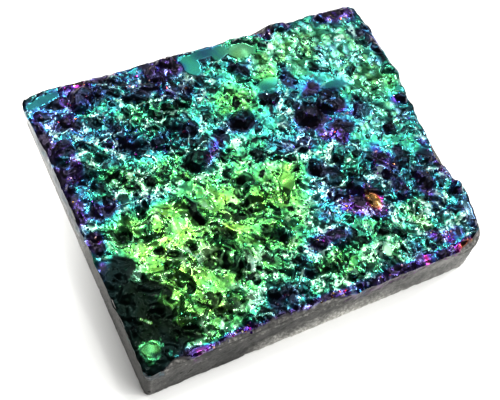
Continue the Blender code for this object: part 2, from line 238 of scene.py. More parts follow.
# Dark patches: x, y, half length, half width, turn, depth of the darkness
DARK_PATCHES = (
    (-12.1, -1.3, 0.6, 0.8, 0, 0.97),
    (-10.4, -6.9, 1.0, 1.1, 0, 1.00),
    (-9.3, -5.7, 0.5, 0.6, 0, 0.90),
    (-11.0, -3.2, 0.8, 0.9, 0, 1.00),
    (-9.9, -8.3, 0.9, 0.6, 0, 1.00),
    (-8.6, 9.3, 0.8, 0.6, 0, 0.90),
    (-7.6, 9.1, 0.7, 0.6, 0, 0.70),
    (-11.9, -3.6, 0.8, 1.2, 0, 1.00),
    (-11.2, -5.3, 1.7, 1.2, 0, 1.00),
    (-10.3, -5.0, 0.9, 0.8, 0, 1.00),
    (-12.0, -7.0, 0.9, 1.6, 0, 1.00),
    (-10.9, -8.1, 1.3, 0.7, 0, 1.00),
    (-9.4, -8.9, 1.4, 0.5, 0, 0.97),
    (-12.5, -8.8, 0.4, 1.6, 0, 1.00),
    (-10.6, -9.7, 1.1, 0.9, 0, 1.00),
    (-12.0, -10.2, 1.2, 0.5, 0, 1.00),
    (-9.4, -7.0, 0.5, 0.5, 0, 0.80),
    (-2.6, -8.8, 1.0, 1.1, 0, 0.80),
    (-10.8, 0.8, 1.2, 0.5, 0, 0.80),
    (-5.3, -1.5, 1.4, 0.35, 105, 0.95),
    (-5.0, 7.8, 1.2, 0.5, 0, 0.90),
    (-8.6, 9.0, 1.1, 0.9, 0, 0.80),
    (-3.7, 8.9, 0.7, 0.8, 0, 0.85),
    (-11.3, 3.9, 0.6, 0.8, 0, 0.80),
    (-11.6, 5.9, 0.6, 0.5, 0, 0.75),
    (-3.7, 1.9, 1.1, 0.8, 0, 0.90),
    (0.4, 3.6, 1.1, 0.9, 0, 0.92),
    (5.2, 2.5, 1.2, 1.2, 60, 0.97),
    (6.3, 4.5, 0.9, 0.5, 30, 0.85),
    (7.4, 3.1, 0.7, 1.0, 0, 0.90),
    (5.0, 6.0, 0.35, 1.1, 0, 0.80),
    (10.9, 9.8, 1.1, 0.6, 0, 0.93),
    (11.7, 7.6, 0.7, 0.7, 0, 0.93),
    (-2.1, 9.5, 0.5, 0.8, 0, 0.85),
    (5.2, -4.6, 0.9, 0.3, -30, 0.90),
    (4.6, -1.9, 0.9, 0.5, 0, 0.85),
    (11.6, -3.2, 0.9, 0.5, -40, 0.70),
    (3.2, 4.7, 1.0, 0.4, -10, 0.97),
    (2.1, 7.4, 0.55, 0.9, 20, 0.97),
    (5.9, 10.1, 1.4, 0.6, 0, 0.93),
    (9.4, 9.6, 0.7, 0.5, 0, 0.75),
    (3.8, -1.3, 0.9, 0.7, -30, 0.92),
    (6.9, 1.0, 0.9, 0.6, 0, 0.93),
    (10.1, -0.3, 0.6, 0.5, 0, 0.90),
    (8.4, -2.2, 0.7, 0.4, 0, 0.85),
    (8.6, -3.3, 0.5, 0.8, 0, 0.75),
    (5.9, -3.7, 1.0, 0.8, 0, 0.70),
    (10.5, -4.9, 0.8, 0.6, 0, 0.80),
    (8.4, -4.8, 0.5, 0.9, 0, 0.80),
    (2.2, -6.4, 1.1, 0.45, 0, 0.85),
    (-0.2, -7.7, 0.4, 0.9, 0, 0.85),
    (-4.5, -3.7, 0.6, 0.6, 0, 0.85),
    (-0.5, -4.8, 0.7, 0.4, -30, 0.80),
    (0.5, 0.9, 0.4, 0.7, 0, 0.80),
    (7.0, -9.2, 0.8, 0.7, 0, 0.75),
    (5.0, -9.4, 0.6, 0.7, 0, 0.85),
    (8.9, 1.5, 0.7, 0.7, 0, 0.85),
    (-9.0, 3.9, 0.8, 0.5, 0, 0.75),
    (-12.4, 2.4, 0.6, 2.4, 0, 0.85),
    (-12.4, 7.0, 0.45, 1.8, 0, 0.90),
    (-11.0, 7.5, 0.7, 0.45, 20, 0.75),
    (-7.6, 10.2, 1.6, 0.25, 0, 0.85),
    (-3.4, 10.1, 1.0, 0.3, 0, 0.85),
    (12.2, 9.4, 0.4, 1.0, 0, 0.75),
    (-12.4, -6.0, 0.4, 3.4, 0, 1.00),
    (-5.2, 4.4, 0.8, 0.4, 25, 0.75),
    (-3.2, 4.4, 0.6, 0.5, 0, 0.75),
)

# Bright spots inside the dark patches: x, y, half length, half width, turn
BRIGHT_PATCHES = (
    (-11.6, -8.9, 0.55, 0.36, -35),
    (-11.2, -7.1, 0.45, 0.10, -50),
    (5.3, -0.35, 0.90, 0.20, 46),
    (5.6, 0.9, 0.45, 0.18, -20),
    (5.2, -5.2, 0.80, 0.10, -33),
    (6.35, -4.95, 0.15, 0.30, 0),
    (7.7, -9.8, 0.35, 0.20, 0),
)

# Open ground between the lumps: x, y, half length, half width, turn, open share
OPEN_GROUND = 0.38
OPEN_PATCHES = (
    (-8.0, -2.5, 3.0, 2.4, 0, 0.64),
    (-7.6, -6.0, 2.4, 2.6, 0, 0.62),
    (-2.6, -3.0, 2.6, 2.4, 0, 0.68),
    (1.4, -2.2, 1.4, 1.8, 0, 0.70),
    (-4.4, -7.6, 1.6, 1.4, 0, 0.50),
    (6.6, 7.4, 3.4, 2.0, 0, 0.72),
    (10.2, 4.6, 2.0, 3.2, 0, 0.72),
    (9.6, -0.2, 2.6, 1.8, 0, 0.62),
    (-8.0, 3.2, 2.0, 1.6, 0, 0.40),
    (5.6, -7.8, 3.2, 1.4, 0, 0.50),
    (1.6, 4.4, 1.0, 2.2, 0, 0.72),
    (-2.6, 4.9, 1.6, 1.2, 0, 0.52),
    (0.6, -5.6, 1.6, 1.4, 0, 0.42),
)

# Where round pale beads cover the crust
BEAD_PATCHES = (
    (7.4, 7.6, 3.4, 2.0, -10),
    (10.4, 5.2, 1.8, 3.0, 0),
    (3.4, 7.6, 1.2, 0.9, 0),
    (10.0, 0.6, 2.0, 1.4, 0),
    (9.4, 9.0, 2.4, 0.8, 0),
)

# Smooth bare faces: x, y, half length, half width, turn, brightness
SMOOTH_PATCHES = (
    (-11.4, 9.8, 1.3, 0.40, 8, 0.45),
    (-0.9, 9.1, 0.7, 1.0, 0, 0.75),
    (0.3, 9.7, 1.0, 0.45, 0, 0.30),
    (1.4, 9.4, 0.7, 0.6, 20, 0.40),
    (2.9, 9.0, 1.0, 0.7, -10, 0.60),
    (3.5, 5.8, 0.8, 0.5, 0, 0.45),
    (8.1, 4.2, 0.8, 0.4, 0, 0.45),
    (1.5, -1.5, 0.6, 0.65, 0, 0.72),
    (-11.6, -8.9, 0.70, 0.48, -35, 0.10),
    (6.35, -4.95, 0.16, 0.32, 0, 0.22),
    (-9.0, -9.95, 0.70, 0.22, 5, 0.20),
    (7.7, -9.8, 0.40, 0.20, 0, 0.50),
    (5.4, -8.5, 0.35, 0.45, -20, 1.00),
    (12.4, -7.9, 0.45, 0.8, 0, 0.30),
    (11.6, -2.9, 0.8, 0.35, -35, 0.40),
)

# Where the gaps in the crust are hollows and not lumps
HOLLOW_PATCHES = (
    (-8.0, -3.0, 3.2, 3.0, 0),
    (-7.4, -7.0, 3.2, 2.6, 0),
    (-2.4, -2.6, 2.8, 2.6, 0),
    (-11.6, -6.0, 1.2, 3.4, 0),
    (1.4, -2.0, 1.2, 1.4, 0),
)

# Pale spots, partly frosted crystal and partly painted highlight: x, y, half length, half width,
# turn, strength
FROST_AND_HIGHLIGHT_PATCHES = (
    (-4.4, -8.0, 1.4, 1.0, 0, 0.42),
    (-6.4, -9.0, 0.5, 0.4, 0, 0.9),
    (-3.2, -6.4, 0.8, 0.8, 0, 0.8),
    (-7.9, -8.9, 0.35, 0.4, 0, 1.0),
    (-6.7, -4.2, 0.6, 0.5, 0, 0.9),
    (-4.6, -2.0, 0.5, 0.6, 0, 0.9),
    (-9.9, -4.0, 0.6, 0.4, 0, 0.6),
    (5.3, -0.35, 0.9, 0.2, 46, 2.4),
    (0.0, -0.4, 0.6, 0.2, 15, 0.7),
    (3.0, 2.6, 0.3, 0.6, 0, 0.6),
    (-2.5, 4.2, 0.2, 0.4, 0, 0.9),
    (8.9, -6.4, 0.6, 0.3, 0, 1.2),
    (10.8, 7.8, 1.2, 0.4, 0, 1.0),
    (5.2, 8.8, 0.6, 0.5, 0, 0.9),
    (9.0, -6.4, 0.8, 0.5, 0, 0.8),
    (3.6, -9.2, 0.8, 0.4, 0, 0.7),
    (6.0, -8.6, 1.4, 0.6, 0, 0.5),
    (-1.6, 8.0, 0.5, 0.6, 0, 0.5),
    (-6.6, 9.6, 0.6, 0.4, 0, 0.6),
)

# Smooth faces that are paler than the film round them
PALE_FACES = (
    (5.4, -8.5, 0.5, 0.6, 0, 0.80),
    (2.9, 9.0, 1.0, 0.8, 0, 0.20),
    (12.4, -7.9, 0.6, 1.0, 0, 0.25),
)

# Chips that lay the stone bare along the border: x, y, half length, half width, turn
CHIP_DEPTH = 0.34             # how far in from the edge they reach
CHIP_SLOPE = 0.55             # how steeply they fall to the edge
CHIP_DROP = 0.02              # how far below the rim they start
CHIP_GRAIN = (0.025, 0.3)     # height and size of their grains
CHIP_PATCHES = (
    (-10.4, -10.4, 0.6, 0.6, 0),
    (-6.4, -10.4, 1.3, 0.8, 0),
    (-3.2, -10.4, 1.6, 0.8, 0),
    (-0.4, -10.4, 1.0, 0.6, 0),
    (11.6, -10.2, 1.0, 0.9, 40),
    (12.5, -3.2, 0.4, 0.7, 0),
    (5.0, 10.3, 0.7, 0.4, 0),
)

# Shares of a soft patch at which what it holds starts, and is full
PATCH_EDGE = (0.35, 0.65)
SMOOTH_EDGE = (0.42, 0.58)

# Lumps, hollows, bright lines and beads of the crust, and the film on them. Sizes, widths
# and rises are in millimetres, and FROM gives the noise where a thing starts, and is full.
LUMP_RUN = (0.90, -0.43)      # the way the lumps run
LUMP_STRETCH = 1.5            # how much longer they are that way
LUMP_BEND = (0.35, 1.5)       # how far they are bent, and over what length
LUMP_NOISE = (1.1, 0.95)      # strength and size of the lumps
BUMP_NOISE = (0.45, 0.45)     # strength and size of the bumps on them
LUMP_EDGE = (-0.10, 0.14)     # how far round its limit a lump starts, and is full
LUMP_RISE = 0.30              # a rise this high makes a lump by itself
LUMP_LIMIT = (-1.05, 2.30)    # limit of a lump where nothing is open, and how much open ground adds
LUMP_SWELL = (0.14, -0.16)    # how lumps stand up from rough ground, and sink in hollows
LUMP_CAP = 1.5                # a high rise counts no more than this many of them
RAGGED = 0.24                 # how far the dark patches' borders wander
CONTRAST = (0.02, 0.92)       # darkness that starts to dim the film, and that blacks it out
LUMP_DARK = 0.97              # darkness of the lumps, partly their own tone and partly painted shade
FACET_PAINTED_HIGHLIGHT = 0.22             # how much less dark some facets of the lumps are: painted highlight
PIT_DARK = 0.81               # darkness of the pits in hollowed ground: painted shade
GROUND_DARK = (0.80, 0.10)    # darkness of rough and of calm ground, partly their own tone and partly painted shade
WEB_PAINTED_HIGHLIGHT = 0.85              # painted highlight on the bright lines and grit on rough ground
BRINK_WIDTH = 0.10            # of the bright line round a lump
VEINS = ((1.3, 0.07), (2.0, 0.05))  # size of the loops of the two sets of veins, and width
VEIN_RISE = 0.04
WEB_CELL = 1.15               # width of the dark cells that the bright lines run round
WEB_LINE = (0.10, 0.22)       # where a line starts to fade, and where it ends
WEB_GAPS = (-0.55, 0.10)      # how much of the web is broken
GRIT_SIZE, GRIT_FROM = 0.30, (0.22, 0.40)
PIT_SIZE, PIT_FROM = 0.45, (0.05, 0.40)
GLINT_SIZE, GLINT_FROM = 0.24, (0.74, 0.90)
BLOTCH_SIZE, BLOTCH_FROM = 0.50, (0.10, 0.40)
POINT_SIZE, POINT_SLOPE = 0.26, 0.8  # the small crystal points of the crust
POINT_RISE = 0.22             # on rough ground
POINT_EASE = 0.15             # how much less they rise on calm ground
FACET_SIZE, FACET_SLOPE = 0.62, 0.7  # the facets of the lumps
FACET_RISE = 0.16
FINE_RISE = 0.03              # of the finest unevenness
BEAD_SIZE = 0.53              # distance between the round beads
BEAD_RADIUS = 0.29
BEAD_SHARE = 0.10             # share of the places for a bead that stay empty
BEAD_GAP_DARK = 0.66          # painted shade in the gaps between them
BEAD_PAINTED_HIGHLIGHT = 0.24             # painted highlight that pales the beads
BEAD_RISE = 0.04
BEAD_FILM = 0.35              # how much the film's order varies from bead to bead
FULL_FROST_AND_HIGHLIGHT = (1.1, 1.5)       # strength of a pale spot where it starts to be pale all over
FILM_SPREAD = 0.06            # how much the film's order varies from crystal to crystal
FILM_FOOT = 0.15              # how far it falls at the foot of a lump
LUMP_FILM = 0.15              # how far the film's order falls on dark lumps
FILM_TILT = 0.34              # how far it falls on a steep face
FILM_STEEP = 0.20             # no tilt or lump takes it lower than this

# Colours along the film's order: of the lit film, and of the dark between the crystals
FILM_COLOURS = (
    (0.00, (0.44, 0.28, 0.055)),
    (0.06, (0.62, 0.08, 0.060)),
    (0.12, (0.44, 0.02, 0.32)),
    (0.19, (0.10, 0.03, 0.36)),
    (0.27, (0.034, 0.088, 0.36)),
    (0.37, (0.036, 0.22, 0.35)),
    (0.48, (0.040, 0.36, 0.33)),
    (0.60, (0.052, 0.46, 0.25)),
    (0.78, (0.078, 0.45, 0.115)),
    (1.00, (0.18, 0.43, 0.046)),
)
SHADE_COLOURS = (
    (0.00, (0.024, 0.014, 0.014)),
    (0.22, (0.017, 0.014, 0.025)),
    (0.40, (0.0050, 0.0080, 0.0160)),
    (0.58, (0.0032, 0.0080, 0.0080)),
    (0.90, (0.0019, 0.0048, 0.0026)),
)
FROST_AND_HIGHLIGHT_COLOUR = (0.75, 1.0, 0.90)
FROST_AND_HIGHLIGHT_SHARE = 0.58            # how much of it covers the film where frost and painted highlight are full
# Bare stone in the chips, from its dark grains to its pale ones
CHIP_COLOURS = (
    (0.35, (0.035, 0.034, 0.031)),
    (0.54, (0.085, 0.082, 0.076)),
    (0.68, (0.20, 0.195, 0.18)),
)

# Sawn stone: dark and pale tones of the walls and of their grains, the left wall's apart
STONE_TONES = ((0.15, 0.15, 0.143), (0.30, 0.295, 0.28))
LEFT_TONES = ((0.13, 0.13, 0.123), (0.27, 0.265, 0.255))
GRAIN_TONES = ((0.22, 0.22, 0.21), (0.44, 0.43, 0.41))
LEFT_GRAIN = (0.30, 0.295, 0.28)
SPECK_COLOUR = (0.045, 0.042, 0.04)
LEFT_FACE = (-0.0119, -0.0122)   # x in metres where the left wall's tones start, and are full
FRONT_FACE = (-0.0097, -0.0100)  # y in metres where the front wall's bevel does
STONE_ROUGH = 0.88
CHIP_ROUGH = 0.85
FILM_ROUGH = (0.17, 0.34)     # roughness of the film where it is bright, and where it is dark
FROST_AND_HIGHLIGHT_METAL = 0.45            # how much of a mirror full frost and painted highlight are
BEVEL_TONES = ((0.42, 0.41, 0.37), (0.84, 0.83, 0.76))

# Painted shade on the left wall from front to back, darkest at the front corner, and the tone of
# the front wall from left to right
LEFT_PAINTED_SHADE = ((0.0, 0.27), (0.18, 0.42), (0.44, 0.52), (0.51, 0.80), (0.60, 1.0), (1.0, 0.9))
FRONT_SHADE = ((0.0, 0.30), (0.25, 0.17), (0.45, 0.24), (0.7, 0.50), (1.0, 0.74))
# How high the pale bevel along the front wall reaches, as shares of its length and height
BEVEL = ((0.0, 0.0), (0.22, 0.0), (0.34, 0.34), (0.48, 0.36), (0.58, 0.42), (0.72, 0.28),
         (0.86, 0.06), (0.92, 0.0))
BEVEL_FADE = (-0.9, 1.0)      # how far under its upper border it starts, and is all pale
BEVEL_GRAIN = 1.5             # how far the grain moves that border

# Studio: softboxes (name, azimuth, elevation, size, brightness) and the white tent.
# Those in SPARKLES are only mirrored by the film.
LIGHT_DISTANCE = 0.30
SOFTBOXES = (
    ("mirror_softbox", 136, 61, 0.26, 1.0),
    ("mirror_core", 139, 63, 0.085, 4.2),
    ("left_softbox", -120, 40, 0.12, 1.5),
    ("back_softbox", 165, 30, 0.10, 3.0),
    ("sparkle_back", 100, 32, 0.030, 70.0),
    ("sparkle_right", 62, 50, 0.030, 70.0),
    ("sparkle_top", 175, 78, 0.024, 60.0),
    ("sparkle_far", 178, 42, 0.030, 70.0),
    ("sparkle_left", -160, 60, 0.030, 70.0),
    ("sparkle_high", 90, 72, 0.024, 60.0),
)
SPARKLES = ("left_softbox", "back_softbox", "sparkle_top", "sparkle_far", "sparkle_left")
# Fills the film does not mirror: name, place and aim in millimetres, size and brightness
FILLS = (
    ("front_fill", (110.0, -165.0, 90.0), (0.0, 0.0, 0.0), 110.0, 5.4),
    ("left_fill", (-21.0, 9.0, 8.0), (-13.0, 7.0, 0.0), 6.0, 25.0),
)
SKY_SEEN = 1.0
SKY_REFLECTED = 0.07
TENT_LIGHT = 0.04
WINDOW_LIGHT = 2.9
WINDOW_DIRECTION = (0.82, 0.38, 0.42)

# Camera, solved for the slab: azimuth, elevation, roll, distance and field
CAMERA_AZIMUTH = -43.7
CAMERA_ELEVATION = 61.4
CAMERA_ROLL = 20.4
CAMERA_DISTANCE = 70.2
CAMERA_TARGET = (-1.45, -1.80, WALL_HEIGHT)
CAMERA_FOCAL_PIXELS = 1065.0
IMAGE_WIDTH = 500.0
SENSOR_WIDTH = 36.0


# ---------------------------------------------------------------- fields over the slab

def lattice(seed):
    """A square table of random numbers from 0 to 1."""
    return np.random.default_rng(seed).random((LATTICE, LATTICE))


def smooth_noise(x, y, length, seed):
    """Smooth noise from -1 to 1 whose bumps are about length across."""
    table = lattice(seed)
    u, v = x / length + 100.0, y / length + 100.0
    i, j = np.floor(u).astype(int), np.floor(v).astype(int)
    s, t = u - i, v - j
    s, t = s * s * (3 - 2 * s), t * t * (3 - 2 * t)
    i, j, i_next, j_next = i % LATTICE, j % LATTICE, (i + 1) % LATTICE, (j + 1) % LATTICE
    near = table[i, j] * (1 - s) + table[i_next, j] * s
    hidden_side_shade = table[i, j_next] * (1 - s) + table[i_next, j_next] * s
    return 2 * (near * (1 - t) + hidden_side_shade * t) - 1


def layered_noise(x, y, length, seed, layers=3):
    """Smooth noise with finer and finer layers on it."""
    total, weight = 0.0, 1.0
    for layer in range(layers):
        total = total + weight * smooth_noise(x, y, length / 2 ** layer, seed + layer)
        weight *= 0.5
    return total


def points_around(x, y, size, seed, count):
    """The scattered points near each place, about size apart, one after another.

    Gives the place's distance from the point along x and along y, in sizes, and the
    point's own random numbers.
    """
    tables = [lattice(seed + k) for k in range(count)]
    u, v = x / size + 100.0, y / size + 100.0
    i0, j0 = np.floor(u).astype(int), np.floor(v).astype(int)
    for di in range(-2, 3):
        for dj in range(-2, 3):
            own = [table[(i0 + di) % LATTICE, (j0 + dj) % LATTICE] for table in tables]
            yield u - (i0 + di) - own[0], v - (j0 + dj) - own[1], own


def crystal_field(x, y, size, slope, seed):
    """Upper faces of a bed of six-sided points about size apart.

    Returns the height, and for each place a random number that belongs to its crystal.
    """
    best = np.full(x.shape, -1e9)
    owner = np.zeros(x.shape)
    for du, dv, own in points_around(x, y, size, seed, 5):
        du, dv = du * size, dv * size
        turn = own[2] * math.pi / 3
        reach = np.zeros(x.shape)
        for side in range(3):
            angle = turn + side * math.pi / 3
            reach = np.maximum(reach, np.abs(du * np.cos(angle) + dv * np.sin(angle)))
        lean = (own[3] - 0.5) * (du * np.cos(turn * 6) + dv * np.sin(turn * 6))
        height = size * (own[4] - 0.5) - slope * reach + lean
        owner = np.where(height > best, own[3], owner)
        best = np.maximum(best, height)
    return best, owner


def cells(x, y, size, seed):
    """Cells round scattered points about size apart.

    Returns the distance to the nearest point, how much farther the next one is, and a
    random number that belongs to the cell.
    """
    first = np.full(x.shape, 1e9)
    second = np.full(x.shape, 1e9)
    owner = np.zeros(x.shape)
    for du, dv, own in points_around(x, y, size, seed, 3):
        distance = size * np.hypot(du, dv)
        closer = distance < first
        second = np.where(closer, first, np.minimum(second, distance))
        owner = np.where(closer, own[2], owner)
        first = np.where(closer, distance, first)
    return first, second - first, owner


def ramp_up(value, start, end):
    """0 below start, 1 above end, smooth between."""
    t = np.clip((value - start) / (end - start), 0, 1)
    return t * t * (3 - 2 * t)


# ---------------------------------------------------------------- patches on the crust

def ellipse(x, y, patch):
    """1 at the middle of a patch, 0.5 at its edge and 0 well outside it."""
    px, py, length, width, turn = patch[:5]
    angle = math.radians(turn)
    dx, dy = x - px, y - py
    along = dx * math.cos(angle) + dy * math.sin(angle)
    across = -dx * math.sin(angle) + dy * math.cos(angle)
    return np.exp(-0.69 * ((along / length) ** 2 + (across / width) ** 2))


def patch_share(x, y, patches):
    """The strongest of a set of soft patches, each scaled by its sixth number if it has one."""
    share = np.zeros(x.shape)
    for patch in patches:
        share = np.maximum(share, ellipse(x, y, patch) * (patch[5] if len(patch) > 5 else 1))
    return share


def patch_mean(x, y, patches, ground, ground_weight, sharpness):
    """Mean of the patches' sixth numbers and of the ground's own value.

    Each patch counts by how near it is, and by its seventh number if it has one.
    """
    weight = np.full(x.shape, ground_weight)
    total = weight * ground
    for patch in patches:
        share = ellipse(x, y, patch) ** sharpness * (patch[6] if len(patch) > 6 else 1)
        total += share * patch[5]
        weight += share
    return total / weight


def film_order(x, y):
    """Order of the metal film, which sets its colour."""
    order = patch_mean(x, y, FILM_PATCHES, FILM_GROUND, 0.10, 1.5)
    near, full = FRONT_RIM_FROM
    rim = ramp_up(-y + 0.15 * smooth_noise(x, y, 1.1, 411), -near, -full)
    rim = rim * ramp_up(x, -10.4, -9.8)
    return order * (1 - rim) + np.interp(x, *FRONT_RIM) * rim


def openness(x, y):
    """Share of the crust left open between its lumps."""
    return patch_mean(x, y, OPEN_PATCHES, OPEN_GROUND, 0.25, 1)


def calmness(open_share):
    """0 on rough ground, 1 on the calm ground that is wide open."""
    return ramp_up(open_share, *CALM)


def smooth_light(x, y):
    """Brightness of the smooth faces, blended where they meet."""
    return patch_mean(x, y, SMOOTH_PATCHES, 0.5, 1e-3, 2)


def smoothness(x, y):
    """1 on the few smooth bare faces of the crust, 0 elsewhere."""
    rough = np.ones(x.shape)
    for patch in SMOOTH_PATCHES:
        rough *= 1 - ramp_up(ellipse(x, y, patch), *SMOOTH_EDGE)
    return 1 - rough


def darkness(x, y):
    """How dark the crust is, from its dark lumps and hollows."""
    clear = np.ones(x.shape)
    x = x + RAGGED * layered_noise(x, y, 0.8, 311)
    y = y + RAGGED * layered_noise(x, y, 0.8, 321)
    for patch in DARK_PATCHES:
        share = np.clip(ellipse(x, y, patch) * 3.2 - 1.1, 0, 1)
        clear *= 1 - patch[5] * share
    for patch in BRIGHT_PATCHES:
        clear = np.maximum(clear, ramp_up(ellipse(x, y, patch), *PATCH_EDGE))
    return 1 - clear


def chipping(x, y, edge):
    """1 where the crust is chipped off the border and bare stone shows."""
    worst = patch_share(x, y, CHIP_PATCHES)
    ragged = 0.10 * layered_noise(x, y, 0.55, 281)
    return ramp_up(worst * CHIP_DEPTH * 1.6 + ragged * (worst > 0.1) - edge, 0.02, 0.10)


# ---------------------------------------------------------------- outline of the slab

def side_to_slab(u, v, corners):
    """Places of a square (u, v from -1 to 1) carried onto the slab with round corners."""
    s, t = (u + 1) / 2, (v + 1) / 2
    a, b, c, d = corners
    place = (np.outer((1 - s) * (1 - t), a) + np.outer(s * (1 - t), b)
             + np.outer(s * t, c) + np.outer((1 - s) * t, d))
    for corner, radius in zip(corners, CORNER_RADII):
        inward = -np.sign(corner)
        centre = corner + inward * radius
        offset = (place - centre) * -inward
        near = (offset > 0).all(axis=1)
        reach = np.hypot(offset[near, 0], offset[near, 1])
        square = offset[near].max(axis=1)
        drawn_in = (square / np.maximum(reach, 1e-9))[:, None]
        place[near] = centre - offset[near] * inward * drawn_in
    return place


def stand_out(place, height):
    """How far the stone at each place and height stands out over the walls, as offsets."""
    level = np.clip((height - WALL_HEIGHT + LIP) / LIP, 0, 1)
    offsets = np.zeros(place.shape)
    for side, middle, length, reach in BULGES:
        outwards = np.array(OUTWARDS[side])
        along = place[:, 0] if side == "back" else place[:, 1]
        depth = (HALF_WIDTH if side == "back" else HALF_LENGTH) - place @ outwards
        share = level * np.clip(1 - depth / BULGE_REACH, 0, 1)
        swell = reach * share * np.exp(-((along - middle) / length) ** 2)
        offsets += np.outer(swell, outwards)
    return offsets


def cad_levels(tree, place):
    """Height of the stone's upper face under each place, in millimetres."""
    levels = np.empty(len(place))
    down = Vector((0, 0, -1))
    for number, (px, py) in enumerate(place * MM * RAY_INSET):
        hit = tree.ray_cast(Vector((px, py, RAY_START)), down)[0]
        levels[number] = hit.z / MM if hit else WALL_HEIGHT
    return levels


def soften(grid, passes):
    """Average each value with its neighbours."""
    for _ in range(passes):
        padded = np.pad(grid, 1, mode="edge")
        grid = (padded[:-2, 1:-1] + padded[2:, 1:-1] + padded[1:-1, :-2] + padded[1:-1, 2:]
                + 2 * grid) / 6
    return grid


def steepness(grid):
    """1 minus the upward part of the surface's normal over a grid of heights."""
    down, across = np.gradient(soften(grid, 1), *CRUST_STEP)
    return 1 - 1 / np.sqrt(1 + down ** 2 + across ** 2)


# ---------------------------------------------------------------- mesh helpers

def deselect():
    """Leave nothing selected."""
    if bpy.context.object and bpy.context.object.mode != "OBJECT":
        bpy.ops.object.mode_set(mode="OBJECT")
    bpy.ops.object.select_all(action="DESELECT")


def smooth_shade(piece, angle):
    """Shade a piece smooth, save at edges sharper than an angle in degrees."""
    deselect()
    piece.select_set(True)
    bpy.ops.object.shade_smooth_by_angle(angle=math.radians(angle))


def extrude_down(times):
    """Extrude the selected border by one unit down, again and again."""
    for _ in range(times):
        bpy.ops.mesh.extrude_region_move(TRANSFORM_OT_translate={"value": (0, 0, -1)})


def get_places(mesh):
    places = np.empty(len(mesh.vertices) * 3, dtype=np.float32)
    mesh.vertices.foreach_get("co", places)
    return places.reshape(-1, 3).astype(float)


def set_places(mesh, places):
    mesh.vertices.foreach_set("co", np.ascontiguousarray(places * MM, dtype=np.float32).ravel())
    mesh.update()


def get_values(mesh, name):
    """The numbers stored under a name, one for each vertex."""
    values = np.empty(len(mesh.vertices), dtype=np.float32)
    mesh.attributes[name].data.foreach_get("value", values)
    return values


def set_values(mesh, looks):
    """Store numbers for each vertex under their names, for the materials."""
    for name, values in looks.items():
        attribute = mesh.attributes.new(name, "FLOAT", "POINT")
        attribute.data.foreach_set("value", np.ascontiguousarray(values, dtype=np.float32))


# ---------------------------------------------------------------- crust

